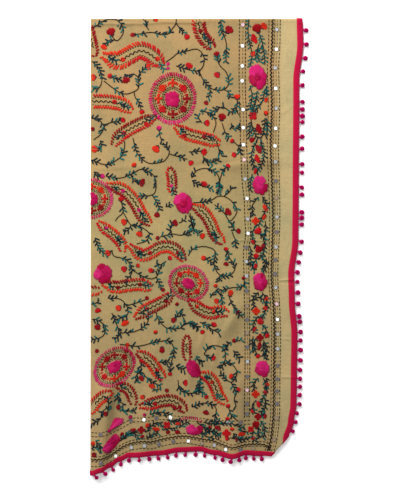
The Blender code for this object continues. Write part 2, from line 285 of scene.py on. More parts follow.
def fold_at(fold, x, y):
    """Height of one fold at a point, and how far it draws the cloth in towards its crest."""
    start, end = Vector(fold["start"]), Vector(fold["end"])
    run = end - start
    length = run.length
    run.normalize()
    side = Vector((-run.y, run.x))
    if side.x < 0:
        side.negate()
    offset = Vector((x, y)) - start
    share = offset.dot(run) / length
    away = offset.dot(side)
    fade = smooth(share * 2.2 + 0.15)
    if not fold["open"]:
        fade *= smooth((1 - share) * 2.2 + 0.15)
    width = fold["right"] if away > 0 else fold["left"]
    height = fold["height"] * fade
    rise = height * math.exp(-((away / width) ** 2))
    mean_width = (fold["left"] + fold["right"]) / 2
    taken_up = 0.63 * height * height / mean_width
    pull = -taken_up / 2 * math.tanh(away / mean_width) * math.exp(-((away / (5 * mean_width)) ** 2))
    return rise, side * pull


def crease_at(crease, x, y):
    """Rise of one fine crease at a point."""
    first, last, rise, half = crease
    start, end = Vector(first) * SQUARE, Vector(last) * SQUARE
    run = end - start
    length = run.length
    run.normalize()
    offset = Vector((x, y)) - start
    place = offset.dot(run)
    bend = CREASE_BEND * math.sin(place * 55 + rise * 9)
    away = offset.dot(Vector((-run.y, run.x))) + bend
    if abs(away) > half * 0.004 or not -0.02 < place < length + 0.02:
        return 0.0
    fade = smooth((place + CREASE_RUN) / CREASE_FADE)
    fade *= smooth((length - place + CREASE_RUN) / CREASE_FADE)
    return rise * 0.001 * fade * math.exp(-((away / (half * 0.001)) ** 2))


def waves(x, y):
    """Broad, low unevenness of cloth that was laid down by hand, never below nothing."""
    slow = math.sin(9 * x + 5 * y + 0.6) * math.sin(11 * y - 4 * x + 1.1)
    quick = math.sin(23 * x - 8 * y) * math.sin(17 * y + 9 * x + 0.4)
    return WAVE_HEIGHT * (1.0 + 0.65 * slow + 0.35 * quick)


def turned_down(place, beyond):
    """Rounds the cloth over a fold: the place past the fold line, and the share of the drop made there."""
    if beyond <= 0:
        return place, 0.0
    angle = min(beyond / FOLD_RADIUS, math.pi / 2)
    return place - FOLD_RADIUS * math.sin(angle), 1 - math.cos(angle)


def laid(across, along, fine=True):
    """Where a point of the cloth's middle surface lies: x to the right, y down the cloth and z up."""
    x, y = max(across, 0.0), max(along, 0.0)
    side_shift = along_table(SIDE_EDGE, y) - QUARTER_WIDTH
    hem_shift = along_table(HEM_EDGE, x) - QUARTER_LENGTH
    x += side_shift * smooth((across - QUARTER_WIDTH + SIDE_PULL) / SIDE_PULL)
    y += hem_shift * smooth((along - QUARTER_LENGTH + HEM_PULL) / HEM_PULL)
    rise = waves(x, y) + TOP_PUFF * math.exp(-((y / TOP_PUFF_WIDTH) ** 2))
    shift = Vector((0.0, 0.0))
    for fold in FOLDS:
        height, pull = fold_at(fold, x, y)
        rise += height
        shift += pull
    if fine:
        rise = max(rise + sum(crease_at(crease, x, y) for crease in CREASES), 0.0)
    x += shift.x * smooth(x / 0.03) * smooth((QUARTER_WIDTH - across) / 0.05)
    y += shift.y * smooth((QUARTER_LENGTH - along) / 0.05)
    to_edge = min(QUARTER_WIDTH - across, QUARTER_LENGTH - along)
    crest = REST_HEIGHT + rise - EDGE_DROOP * smooth(1 - to_edge / DROOP_WIDTH)
    x, turn_left = turned_down(x, -across)
    y, turn_top = turned_down(y, -along)
    z = crest - (crest - PAD_HEIGHT / 2) * turn_left
    z -= (z - CLOTH / 2 - FLOOR_GAP) * turn_top
    return Vector((x, y, z))


def turned_under(point):
    """Rolls what lies past the slanting line at the free corner in under the cloth."""
    out = Vector((math.cos(CORNER_SLOPE), math.sin(CORNER_SLOPE)))
    beyond = (Vector(point[:2]) - Vector(CORNER_POINT)).dot(out)
    if beyond <= 0:
        return point
    half_turn = math.pi * CORNER_RADIUS
    angle = min(beyond, half_turn) / CORNER_RADIUS
    back = max(beyond - half_turn, 0.0)
    shift = CORNER_RADIUS * math.sin(angle) - beyond - back
    down = CORNER_RADIUS * (1 - math.cos(angle))
    return Vector((point.x + out.x * shift, point.y + out.y * shift, point.z - down))


def fold_corner():
    """World place of the corner where the two folds meet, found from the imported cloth."""
    low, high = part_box("cloth_face")
    reach = FOLD_RADIUS + CLOTH / 2
    return low[0] + reach, high[1] - reach


CORNER_X, CORNER_Y = fold_corner()


def to_world(point):
    """A point of the layout, with y down the cloth, in world space."""
    return Vector((CORNER_X + point.x, CORNER_Y - point.y, point.z))


# Mesh helpers


def add_object(name, data):
    """An object at the origin in the scene."""
    made = bpy.data.objects.new(name, data)
    bpy.context.scene.collection.objects.link(made)
    return made


def finish_mesh(name, mesh, materials, soft=True):
    """A bmesh made into a named object."""
    data = bpy.data.meshes.new(name)
    mesh.to_mesh(data)
    mesh.free()
    for material in materials:
        data.materials.append(material)
    if soft:
        data.shade_smooth()
    return add_object(name, data)


def bake_modifiers(made):
    """Turns an object with modifiers into its plain result."""
    graph = bpy.context.evaluated_depsgraph_get()
    plain = bpy.data.meshes.new_from_object(made.evaluated_get(graph), depsgraph=graph)
    made.modifiers.clear()
    made.data = plain
    plain.name = made.name
    return made


def thicken(made, thickness, offset=0.0):
    """Gives a surface its wall."""
    wall = made.modifiers.new("wall", "SOLIDIFY")
    wall.thickness = thickness
    wall.offset = offset
    return bake_modifiers(made)


def steps_between(start, end, step):
    """Even steps from one distance to another, without the first."""
    count = max(1, round((end - start) / step))
    return [start + (end - start) * index / count for index in range(1, count + 1)]


def curl_lines():
    """Distances of the mesh lines in the turned-down part of a fold, ending on the fold line."""
    return [-FOLD_RADIUS * math.pi / 2 * step / CURL_STEPS for step in range(CURL_STEPS, -1, -1)]


def cut_at_corner(mesh):
    """Adds edges along the slanting line, so that the turned-under corner is round."""
    out = Vector((math.cos(CORNER_SLOPE), math.sin(CORNER_SLOPE), 0))
    for step in range(CORNER_STEPS):
        beyond = math.pi * CORNER_RADIUS * step / (CORNER_STEPS - 1)
        point = Vector((*CORNER_POINT, 0)) + out * beyond
        everything = mesh.verts[:] + mesh.edges[:] + mesh.faces[:]
        bmesh.ops.bisect_plane(mesh, geom=everything, dist=0.00002, plane_co=point, plane_no=out)


def laid_grid(across, along, lift=None):
    """A grid of the laid cloth over mesh lines, in world space; lift gives a height off it in metres."""
    mesh = bmesh.new()
    spread = mesh.verts.layers.float.new("lift")
    grid = [[mesh.verts.new(laid(s, t)) for s in across] for t in along]
    if lift:
        for t, row in zip(along, grid):
            for s, vertex in zip(across, row):
                vertex[spread] = lift(s, t)
    for upper, lower in zip(grid, grid[1:]):
        for column in range(len(across) - 1):
            mesh.faces.new((upper[column], lower[column], lower[column + 1], upper[column + 1]))
    cut_at_corner(mesh)
    for vertex in mesh.verts:
        vertex.co = to_world(turned_under(vertex.co))
    mesh.normal_update()
    if lift:
        for vertex in mesh.verts:
            vertex.co += vertex.normal * vertex[spread]
    return mesh


# Shared finishes


def new_group(kind, name, inputs, outputs):
    """A node group with its two ends; each socket is given as its default, or as the name of its kind."""
    group = bpy.data.node_groups.new(name, kind)
    for direction, sockets in (("INPUT", inputs), ("OUTPUT", outputs)):
        for label, value in sockets.items():
            sort = value if isinstance(value, str) else "Int" if isinstance(value, int) else "Float"
            socket = group.interface.new_socket(label, in_out=direction, socket_type="NodeSocket" + sort)
            if not isinstance(value, str):
                socket.default_value = value
    return group, group.nodes.new("NodeGroupInput"), group.nodes.new("NodeGroupOutput")


def feed(tree, node, values):
    """Gives a node its inputs, by name or by number after an i; a value that is a socket is linked."""
    for label, value in values.items():
        key = int(label[1:]) if label[0] == "i" and label[1:].isdigit() else label.replace("_", " ")
        if isinstance(value, bpy.types.NodeSocket):
            tree.links.new(value, node.inputs[key])
        else:
            node.inputs[key].default_value = value


def place(tree, kind, settings=None, **values):
    """A node with its settings and its inputs."""
    node = tree.nodes.new(kind)
    for label, value in (settings or {}).items():
        setattr(node, label, value)
    feed(tree, node, values)
    return node


def once(build):
    """Lets a builder make a material or group only when the file has none of that name."""

    def give(name, *values):
        for kept in (bpy.data.materials, bpy.data.node_groups):
            if name in kept:
                return kept[name]
        return build(name, *values)

    return give


def sums(tree, operation, first, second=0.0, third=0.0):
    """The result of one arithmetic node."""
    return place(tree, "ShaderNodeMath", {"operation": operation}, i0=first, i1=second, i2=third).outputs[0]


def weighed(tree, value, weight, rest):
    """A value times its weight, added to the rest."""
    return sums(tree, "MULTIPLY_ADD", value, weight, rest)


def noise(tree, where, scale, detail=2.0, **more):
    """Noise that varies from 0 to 1."""
    return place(tree, "ShaderNodeTexNoise", Vector=where, Scale=scale, Detail=detail, **more).outputs[0]


@once
def weave_group(name):
    """Slub cotton: patches, long uneven yarns both ways, flecks, puckers and a fine plain weave."""
    shown = dict.fromkeys(("Patches", "Flecks", "Slubs", "Puckers", "Weave", "Height"), "Float")
    group, start, end = new_group("ShaderNodeTree", name, {"Vector": "Vector", "Yarn pitch": 0.0009}, shown)
    where = start.outputs["Vector"]
    yarns = []
    for stretch in ((34.0, 620.0, 1.0), (560.0, 26.0, 1.0)):
        along = place(group, "ShaderNodeVectorMath", {"operation": "MULTIPLY"}, i0=where, i1=stretch)
        yarns.append(noise(group, along.outputs[0], 1.0, 3.0))
    slubs = sums(group, "MULTIPLY", sums(group, "ADD", *yarns), 0.5)
    parts = place(group, "ShaderNodeSeparateXYZ", Vector=where)
    turns = []
    for axis in (0, 1):
        run = sums(group, "MULTIPLY", parts.outputs[axis], 2 * math.pi)
        turns.append(sums(group, "SINE", sums(group, "DIVIDE", run, start.outputs["Yarn pitch"])))
    weave = weighed(group, sums(group, "MULTIPLY", *turns), 0.5, 0.5)
    found = {
        "Patches": noise(group, where, 9.0, 4.0, Roughness=0.6),
        "Flecks": noise(group, where, 240.0, Roughness=0.7),
        "Slubs": slubs,
        "Puckers": noise(group, where, 65.0, Distortion=0.6),
        "Weave": weave,
        "Height": weighed(group, weave, 0.4, slubs),
    }
    feed(group, end, found)
    return group


@once
def strand_group(name):
    """Twisted floss: fine strands along each stitch and a little difference from stitch to stitch."""
    shown = {"Shade": "Float", "Height": "Float"}
    group, start, end = new_group("ShaderNodeTree", name, {"Strand": "Vector", "Vector": "Vector"}, shown)
    parts = place(group, "ShaderNodeSeparateXYZ", Vector=start.outputs["Strand"])
    slant = weighed(group, parts.outputs[0], 1.6, sums(group, "MULTIPLY", parts.outputs[1], 9.0))
    lines = weighed(group, sums(group, "SINE", slant), 0.5, 0.5)
    fuzz = noise(group, start.outputs["Vector"], 900.0)
    broad = noise(group, start.outputs["Vector"], 60.0)
    shade = weighed(group, lines, 0.16, weighed(group, broad, 0.34, 0.72))
    feed(group, end, {"Shade": shade, "Height": weighed(group, fuzz, 0.35, lines)})
    return group


def blank_material(name):
    """A material, its tree, its Principled shader and the place on the object."""
    material = bpy.data.materials.new(name)
    material.use_nodes = True
    tree = material.node_tree
    where = place(tree, "ShaderNodeTexCoord").outputs["Object"]
    return material, tree, tree.nodes["Principled BSDF"], where


def shaded(tree, colour, share):
    """A colour made lighter or darker by a value that varies about one."""
    if not isinstance(colour, bpy.types.NodeSocket):
        colour = colour[:3]
    return place(tree, "ShaderNodeVectorMath", {"operation": "SCALE"}, i0=colour, Scale=share).outputs[0]


def mixed_shares(tree, group, share, **weights):
    """A share with a group's outputs added to it, each by its weight."""
    for label, weight in weights.items():
        share = weighed(tree, group.outputs[label], weight, share)
    return share


def ramp(tree, value, stops):
    """The colour at a value on a ramp of stops, given as (place, colour)."""
    node = place(tree, "ShaderNodeValToRGB", Fac=value)
    for _ in stops[2:]:
        node.color_ramp.elements.new(0.5)
    for stop, (spot, shade) in zip(node.color_ramp.elements, stops):
        stop.position = spot
        stop.color = (*shade, 1)
    return node.outputs["Color"]


def bumped(tree, height, strength, depth):
    """The shader's normal over a height that stands out by a depth in metres."""
    return place(tree, "ShaderNodeBump", Strength=strength, Distance=depth, Height=height).outputs[0]


def shares_between(tree, value, start, end):
    """0 to 1 with soft ends, as a value runs from one number to another."""
    settings = {"interpolation_type": "SMOOTHSTEP"}
    return place(tree, "ShaderNodeMapRange", settings, Value=value, From_Min=start, From_Max=end).outputs[0]


@once
def cotton_material(name, colour):
    """Unbleached slub cotton, a little darker and greener in patches, and darker and warmer in the
    embroidered field, with painted shade down the field that is darkest towards the top fold.
    """
    material, tree, shader, where = blank_material(name)
    weave = place(tree, "ShaderNodeGroup", {"node_tree": weave_group("Slub weave")}, Vector=where)
    share = mixed_shares(tree, weave, 0.28, Patches=0.40, Flecks=0.40, Slubs=0.60, Weave=0.10)
    parts = place(tree, "ShaderNodeSeparateXYZ", Vector=where)
    margin = shares_between(tree, parts.outputs[0], *(CORNER_X + end * SQUARE for end in FIELD_END))
    down = shares_between(tree, parts.outputs[1], *(CORNER_Y - end * SQUARE for end in FIELD_LENGTH))
    blend = {"data_type": "RGBA"}
    # Painted shade down the embroidered field, darkest towards the top fold; the margin is left plain
    field_shade = ramp(tree, down, FIELD_SHADE_TONES)
    tone = place(tree, "ShaderNodeMix", blend, i0=margin, i6=field_shade, i7=(1, 1, 1, 1)).outputs[2]
    patches = [(stop, [part * painted_reflection for part, painted_reflection in zip(colour, tints)]) for stop, tints in PATCH_TINTS]
    plain = ramp(tree, weave.outputs["Patches"], patches)
    toned = place(tree, "ShaderNodeVectorMath", {"operation": "MULTIPLY"}, i0=plain, i1=tone).outputs[0]
    raised = weighed(tree, weave.outputs["Puckers"], PUCKER, weave.outputs["Height"])
    looks = {
        "Base Color": shaded(tree, toned, share),
        "Roughness": weighed(tree, weave.outputs["Slubs"], 0.2, 0.75),
        "Specular IOR Level": 0.15,
        "Sheen Weight": 0.05,
        "Sheen Roughness": 0.5,
        "Normal": bumped(tree, raised, 0.35, 0.0004),
    }
    feed(tree, shader, looks)
    return material


@once
def tape_material(name, colour):
    """Woven edging tape with a fine rib across it."""
    material, tree, shader, where = blank_material(name)
    woven = {"node_tree": weave_group("Slub weave")}
    weave = place(tree, "ShaderNodeGroup", woven, Vector=where, Yarn_pitch=0.0006)
    looks = {
        "Base Color": shaded(tree, colour, mixed_shares(tree, weave, 0.72, Slubs=0.5, Weave=0.12)),
        "Roughness": weighed(tree, weave.outputs["Slubs"], 0.2, 0.5),
        "Specular IOR Level": 0.04,
        "Normal": bumped(tree, weave.outputs["Height"], 0.3, 0.0003),
    }
    feed(tree, shader, looks)
    return material


@once
def floss_material(name):
    """Silky floss in each stitch's own colour."""
    material, tree, shader, where = blank_material(name)
    thread = place(tree, "ShaderNodeAttribute", {"attribute_name": "thread"}).outputs["Color"]
    strand = place(tree, "ShaderNodeAttribute", {"attribute_name": "strand"}).outputs["Vector"]
    twisted = {"node_tree": strand_group("Floss strands")}
    floss = place(tree, "ShaderNodeGroup", twisted, Strand=strand, Vector=where)
    looks = {
        "Base Color": shaded(tree, thread, floss.outputs["Shade"]),
        "Roughness": weighed(tree, floss.outputs["Height"], 0.15, 0.42),
        "Specular IOR Level": 0.04,
        "Normal": bumped(tree, floss.outputs["Height"], 0.5, 0.0003),
    }
    feed(tree, shader, looks)
    return material


@once
def wool_material(name, colour):
    """Cut wool with painted shade: darker in fine and broad noise that stands for the depth between the
    tufts.
    """
    material, tree, shader, where = blank_material(name)
    fuzz = noise(tree, where, 1100.0, 3.0)
    broad = noise(tree, where, 70.0, 1.0)
    looks = {
        # Painted shade between the tufts, as fine and broad noise in the colour
        "Base Color": shaded(tree, colour, weighed(tree, fuzz, 0.7, weighed(tree, broad, 0.6, 0.35))),
        "Roughness": weighed(tree, fuzz, 0.1, 0.85),
        "Specular IOR Level": 0.03,
        "Normal": bumped(tree, fuzz, 0.6, 0.0005),
    }
    feed(tree, shader, looks)
    return material


@once
def mirror_material(name):
    """Part silvered glass with small clouds, coloured by the painted reflection that each mirror carries."""
    material, tree, shader, where = blank_material(name)
    clouds = noise(tree, where, 260.0)
    painted_reflection = place(tree, "ShaderNodeAttribute", {"attribute_name": "thread"}).outputs["Color"]
    looks = {
        "Base Color": shaded(tree, painted_reflection, weighed(tree, clouds, 0.3, 0.80)),
        "Roughness": weighed(tree, clouds, 0.16, 0.02),
        "Metallic": MIRROR_SILVER,
    }
    feed(tree, shader, looks)
    return material


@once
def floor_material(name):
    """Matt white paper with a trace of tone, lit a little from within."""
    material, tree, shader, where = blank_material(name)
    tone = weighed(tree, noise(tree, where, 3.0), 0.02, 0.99)
    looks = {
        "Base Color": shaded(tree, (0.97, 0.97, 0.97), tone),
        "Roughness": 0.9,
        "Emission Color": (1.0, 1.0, 1.0, 1.0),
        "Emission Strength": FLOOR_GLOW,
    }
    feed(tree, shader, looks)
    return material


# Stitches and pompoms, repeated by Geometry Nodes


def new_tree(name, inputs):
    """A geometry tree that works as a modifier, with its two ends."""
    ends = {"Geometry": "Geometry"}
    tree, start, end = new_group("GeometryNodeTree", name, {**ends, **inputs}, ends)
    tree.is_modifier = True
    return tree, start, end


def named(tree, kind, label):
    """The value of a named attribute."""
    kept = {"data_type": kind}
    return place(tree, "GeometryNodeInputNamedAttribute", kept, Name=label).outputs["Attribute"]


def close_tree(tree, start, end, piece, material):
    """Puts a piece on every point as the point turns and sizes it, then makes it real and dresses it."""
    put = place(
        tree,
        "GeometryNodeInstanceOnPoints",
        Points=start.outputs["Geometry"],
        Instance=piece,
        Rotation=named(tree, "QUATERNION", "turn"),
        Scale=named(tree, "FLOAT_VECTOR", "size"),
    ).outputs[0]
    real = place(tree, "GeometryNodeRealizeInstances", Geometry=put).outputs[0]
    soft = place(tree, "GeometryNodeSetShadeSmooth", Geometry=real).outputs[0]
    done = place(tree, "GeometryNodeSetMaterial", Geometry=soft, Material=start.outputs[material])
    feed(tree, end, {"Geometry": done.outputs[0]})
    return tree


@once
def stitch_tree(name):
    """One plump stitch with rounded ends on every point."""
    tree, start, end = new_tree(name, {"Sides": 6, "Rings": 3, "Bluntness": 0.5, "Floss": "Material"})
    sides, rings = start.outputs["Sides"], start.outputs["Rings"]
    ball = place(tree, "GeometryNodeMeshUVSphere", Segments=sides, Rings=rings, Radius=1.0).outputs["Mesh"]
    lying = place(tree, "GeometryNodeTransform", Geometry=ball, Rotation=(0.0, math.pi / 2, 0.0)).outputs[0]
    spot = place(tree, "GeometryNodeInputPosition").outputs[0]
    along, across, up = place(tree, "ShaderNodeSeparateXYZ", Vector=spot).outputs
    far = sums(tree, "POWER", sums(tree, "ABSOLUTE", along), start.outputs["Bluntness"])
    far = sums(tree, "MULTIPLY", far, sums(tree, "SIGN", along))
    drawn_out = place(tree, "ShaderNodeCombineXYZ", X=far, Y=across, Z=up).outputs[0]
    blunt = place(tree, "GeometryNodeSetPosition", Geometry=lying, Position=drawn_out).outputs[0]
    kept = {"data_type": "FLOAT_VECTOR", "domain": "POINT"}
    strand = place(tree, "GeometryNodeStoreNamedAttribute", kept, Geometry=blunt, Name="strand", Value=spot)
    return close_tree(tree, start, end, strand.outputs[0], "Floss")


@once
def pompom_tree(name):
    """A ball of wool tufts on every point."""
    inputs = {"Tuft length": 0.42, "Tuft width": 0.15, "Seed": 4, "Wool": "Material"}
    tree, start, end = new_tree(name, inputs)
    core, seats = (
        place(tree, "GeometryNodeMeshIcoSphere", Radius=radius, Subdivisions=3).outputs["Mesh"]
        for radius in (POMPOM_CORE, TUFT_SEATS)
    )
    cone = {"Vertices": 4, "Radius_Top": 0.35, "Radius_Bottom": 1.0, "Depth": 1.0}
    tuft = place(tree, "GeometryNodeMeshCone", **cone).outputs["Mesh"]
    normal = place(tree, "GeometryNodeInputNormal").outputs[0]
    outward = place(tree, "FunctionNodeAlignRotationToVector", {"axis": "Z"}, Vector=normal).outputs[0]
    low, high = TUFT_SPREAD
    length = place(
        tree, "FunctionNodeRandomValue", {"data_type": "FLOAT"}, i2=low, i3=high, Seed=start.outputs["Seed"]
    ).outputs[1]
    tall = sums(tree, "MULTIPLY", length, start.outputs["Tuft length"])
    wide = start.outputs["Tuft width"]
    size = place(tree, "ShaderNodeCombineXYZ", X=wide, Y=wide, Z=tall).outputs[0]
    tufts = place(
        tree, "GeometryNodeInstanceOnPoints", Points=seats, Instance=tuft, Rotation=outward, Scale=size
    ).outputs[0]
    ball = place(tree, "GeometryNodeJoinGeometry")
    for piece in (core, tufts):
        tree.links.new(piece, ball.inputs[0])
    return close_tree(tree, start, end, ball.outputs[0], "Wool")


def grown_from_points(name, rows, tree, settings):
    """Runs a tree on points given as (place, turn, size, colour), and keeps the plain mesh it makes."""
    data = bpy.data.meshes.new(name)
    data.from_pydata([row[0] for row in rows], [], [])
    for label, kind, key, values in (
        ("turn", "QUATERNION", "value", [value for row in rows for value in row[1]]),
        ("size", "FLOAT_VECTOR", "vector", [value for row in rows for value in row[2]]),
        ("thread", "FLOAT_COLOR", "color", [value for row in rows for value in (*row[3], 1.0)]),
    ):
        data.attributes.new(label, kind, "POINT")
        data.attributes[label].data.foreach_set(key, values)
    made = add_object(name, data)
    grow = made.modifiers.new("grow", "NODES")
    grow.node_group = tree
    for socket in tree.interface.items_tree:
        if socket.name in settings and socket.in_out == "INPUT":
            grow[socket.identifier] = settings[socket.name]
    bake_modifiers(made)
    for spare in ("turn", "size"):
        if spare in made.data.attributes:
            made.data.attributes.remove(made.data.attributes[spare])
    return made


# Stitches laid on the cloth


def cloth_ground():
    """The laid cloth as a surface to drop stitches on."""
    return BVHTree.FromObject(bpy.data.objects["cloth"], bpy.context.evaluated_depsgraph_get())


def on_cloth(ground, spot):
    """Where a place of the chart lies on the cloth, and which way the cloth faces there."""
    above = Vector((CORNER_X + spot[0] * SQUARE, CORNER_Y - spot[1] * SQUARE, 0.3))
    place_found, normal, _, _ = ground.ray_cast(above, Vector((0, 0, -1)))
    if place_found is None or normal.z < STEEPEST or place_found.z < PAD_HEIGHT:
        return None
    return place_found, normal


class Sewing:
    """Stitches gathered in chart squares, then sewn on the cloth as one piece."""

    def __init__(self, seed):
        self.chance = random.Random(seed)
        self.stitches = []

    def add(self, start, end, width, thread, shade=1.0, lift=0.0):
        """One stitch; its shade makes the thread lighter or darker."""
        shade *= self.chance.uniform(1 - SHADE_SPREAD, 1 + SHADE_SPREAD)
        self.stitches.append((Vector(start), Vector(end), width, thread, shade, lift))

    def sew(self, name, sizes, threads):
        """Lays every stitch on the cloth and makes them one mesh."""
        ground = cloth_ground()
        rows = []
        for start, end, width, thread, shade, lift in self.stitches:
            first, last = on_cloth(ground, start), on_cloth(ground, end)
            if first is None or last is None or (last[0] - first[0]).length < SHORTEST:
                continue
            along = (last[0] - first[0]).normalized()
            up = (first[1] + last[1]).normalized()
            up = (up - along * up.dot(along)).normalized()
            across = up.cross(along)
            wide = width * sizes.thread_scale * SQUARE / 2
            height = max(wide * PLUMPNESS, THINNEST)
            middle = (first[0] + last[0]) / 2 + up * (height * SUNK + lift)
            half = (last[0] - first[0]).length / 2 + wide * 0.3
            turn = Matrix((along, across, up)).transposed().to_quaternion()
            colour = [min(part * shade, 1.0) for part in getattr(threads, thread)]
            rows.append((middle, turn, (half, wide, height), colour))
        settings = {"Sides": 6, "Rings": 3, "Bluntness": 0.5, "Floss": floss_material("Embroidery floss")}
        return grown_from_points(name, rows, stitch_tree("Stitches"), settings)


def curve_through(points, step):
    """Even places along a smooth curve through given points, each with its direction."""
    spots = [Vector(point) for point in points]
    spots = [2 * spots[0] - spots[1], *spots, 2 * spots[-1] - spots[-2]]
    fine = []
    for before, start, end, after in zip(spots, spots[1:], spots[2:], spots[3:]):
        for count in range(CURVE_PARTS):
            t = count / CURVE_PARTS
            straight = 2 * start + (end - before) * t
            bent = (2 * before - 5 * start + 4 * end - after) * t * t
            swung = (3 * start - before - 3 * end + after) * t ** 3
            fine.append((straight + bent + swung) / 2)
    fine.append(spots[-2])
    found, wait = [], 0.0
    for start, end in zip(fine, fine[1:]):
        run = (end - start).length
        while wait < run:
            found.append((start.lerp(end, wait / run), (end - start).normalized()))
            wait += step
        wait -= run
    return found


def turned(direction, degrees):
    """A direction turned by some degrees on the chart."""
    return Matrix.Rotation(math.radians(degrees), 2) @ Vector(direction)


def add_leaf(sewing, base, direction, length, width, thread):
    """One leaf of two threads that part a little in the middle."""
    side = Vector((-direction.y, direction.x)) * width * 0.24
    tip = base + direction * length
    for way in (1, -1):
        sewing.add(base + side * way * 0.6, tip + side * way * 0.8, width * 0.62, thread)


def add_oval(sewing, centre, half_long, half_wide, turn, thread, shade=1.0):
    """An oval filled with parallel threads along its length."""
    along = Vector((math.cos(math.radians(turn)), math.sin(math.radians(turn))))
    side = Vector((-along.y, along.x))
    count = max(2, round(2 * half_wide / FILL_PITCH))
    for index in range(count):
        offset = half_wide * (2 * (index + 0.5) / count - 1)
        reach = half_long * math.sqrt(max(1 - (offset / half_wide) ** 2, 0.08))
        reach *= sewing.chance.uniform(0.9, 1.06)
        middle = Vector(centre) + side * offset
        sewing.add(middle - along * reach, middle + along * reach, FILL_PITCH * 1.35, thread, shade)


def add_petals(sewing, centre, radius, thread, petals=4, turn=0.0):
    """A small flower of oval petals around a point."""
    for petal in range(petals):
        angle = turn + 360 * petal / petals
        out = turned((1, 0), angle)
        add_oval(sewing, Vector(centre) + out * radius * 0.56, radius * 0.46, radius * 0.42, angle, thread)


def add_cross(sewing, centre, radius, thread, turn=0.0):
    """A small flower of four blunt petals, three threads each, that meet in the middle."""
    for petal in range(4):
        out = turned((radius, 0), turn + 90 * petal)
        side = turned(out, 90) * 0.22
        for hand in (-1, 0, 1):
            reach = 1.0 if hand == 0 else 0.88
            sewing.add(centre + out * 0.05, centre + out * reach + side * hand, radius * 0.44, thread)


def add_stem(sewing, path, thread="stem"):
    """Stem stitches end to end along a curve."""
    places = curve_through(path, STEM_STITCH)
    for (start, _), (end, _) in zip(places, places[1:]):
        drift = Vector((sewing.chance.uniform(-1, 1), sewing.chance.uniform(-1, 1))) * 0.14
        sewing.add(start + drift, end + (end - start) * 0.12 + drift, STEM_WIDTH, thread)


def add_leaves_on(sewing, path, leafy, reach=5.0, size=1.0):
    """Leaves by turns on the two sides of a stem, on the parts of it that lie near its leafy places."""
    way = 1
    for spot, direction in curve_through(path, LEAF_PITCH):
        if not any((spot - Vector(place_near)).length < reach for place_near in leafy):
            continue
        way = -way
        if sewing.chance.random() < 0.10:
            continue
        out = turned(direction, way * sewing.chance.uniform(34, 62))
        length = size * LEAF_LENGTH * sewing.chance.uniform(0.72, 1.15)
        at_top = spot.x > BRIGHT_CORNER[0] and spot.y < BRIGHT_CORNER[1]
        share = BRIGHT_AT_TOP if at_top else BRIGHT_SHARE
        thread = "bright" if sewing.chance.random() < share else "teal"
        add_leaf(sewing, spot, out, length, size * LEAF_WIDTH, thread)


def add_stroke(sewing, start, end, width, thread, shade=1.0):
    """A blunt stroke of two threads side by side."""
    start, end = Vector(start), Vector(end)
    way = (end - start).normalized()
    side = Vector((-way.y, way.x)) * width * 0.22
    for hand in (1, -1):
        sewing.add(start + side * hand, end + side * hand, width * 0.58, thread, shade)


def add_dashes(sewing, path, width=DASH_WIDTH, dash=DASH, pitch=DASH_PITCH, thread="black"):
    """Running stitch along a curve."""
    for spot, direction in curve_through(path, pitch):
        sewing.add(spot, spot + direction * dash * sewing.chance.uniform(0.85, 1.15), width, thread)


def add_zigzag(sewing, path, swing, pitch, width=DASH_WIDTH, thread="black"):
    """Zigzag stitch along a curve."""
    places = curve_through(path, pitch / 2)
    corners = [
        spot + Vector((-way.y, way.x)) * swing * (1 if index % 2 else -1)
        for index, (spot, way) in enumerate(places)
    ]
    for start, end in zip(corners, corners[1:]):
        sewing.add(start, end, width, thread)


def add_plume(sewing, spine, inner, outer, upper, lower):
    """A curled leaf: two rows of slanting strokes, dashes inside them and a zigzag along the middle."""
    places = curve_through(spine, 1.0)
    last = len(places) - 1
    for hand, (first, second) in ((-1, upper), (1, lower)):
        row, dashes = [], []
        for index, (spot, way) in enumerate(places):
            swell = smooth(min(index / last / 0.20, (1 - index / last) / 0.14, 1.0))
            near = inner * (0.22 + 0.78 * swell)
            side = Vector((-way.y, way.x)) * hand
            row.append(spot + side * near)
            dashes.append(spot + side * (near - 0.5))
        strokes = curve_through(row[::4] + [row[-1] + (row[-1] - row[-2]) * 0.5], STROKE_PITCH)
        for index, (spot, way) in enumerate(strokes):
            share = index / max(len(strokes) - 1, 1)
            depth = (outer - inner) * (0.70 + 0.30 * smooth(min(share, 1 - share) / 0.2))
            side = Vector((-way.y, way.x)) * hand
            thread = first if share + sewing.chance.uniform(-0.12, 0.12) < 0.5 else second
            end = spot + side * depth - way * depth * STROKE_SLANT * sewing.chance.uniform(0.80, 1.20)
            add_stroke(sewing, spot, end, STROKE_WIDTH, thread)
        if inner > DASHES_FIT:
            add_dashes(sewing, dashes[4:-3:5], width=0.75, dash=1.8, pitch=2.6)
    middle = [spot for spot, _ in places[6:-6:5]]
    if len(middle) > 2:
        add_zigzag(sewing, middle, 1.15, 4.6, width=1.25)


def add_satin_flower(sewing, centre, half_u, half_v, tilt, lobes):
    """A satin flower of lobes given as (way, half spread, reach, thread), each over the ones before it."""
    for layer, (heading, spread, reach, thread) in enumerate(lobes):
        shade = sewing.chance.uniform(0.92, 1.08)
        spread = min(spread * 1.22, 180)
        reach *= LOBE_SWELL
        count = max(4, round(math.radians(spread) * reach * (half_u + half_v) / LOBE_PITCH))
        drop = LOBE_DROP if spread < 90 else 0.0
        for index in range(count):
            across = 2 * (index + 0.5) / count - 1
            angle = math.radians(heading + across * spread)
            length = reach * (1 - drop * across * across) + sewing.chance.uniform(-0.04, 0.04)
            out = turned((math.cos(angle) * half_u, math.sin(angle) * half_v), tilt)
            start, end = Vector(centre) - out * 0.04, Vector(centre) + out * length
            sewing.add(start, end, LOBE_PITCH * 1.5, thread, shade, lift=LOBE_LIFT * layer)


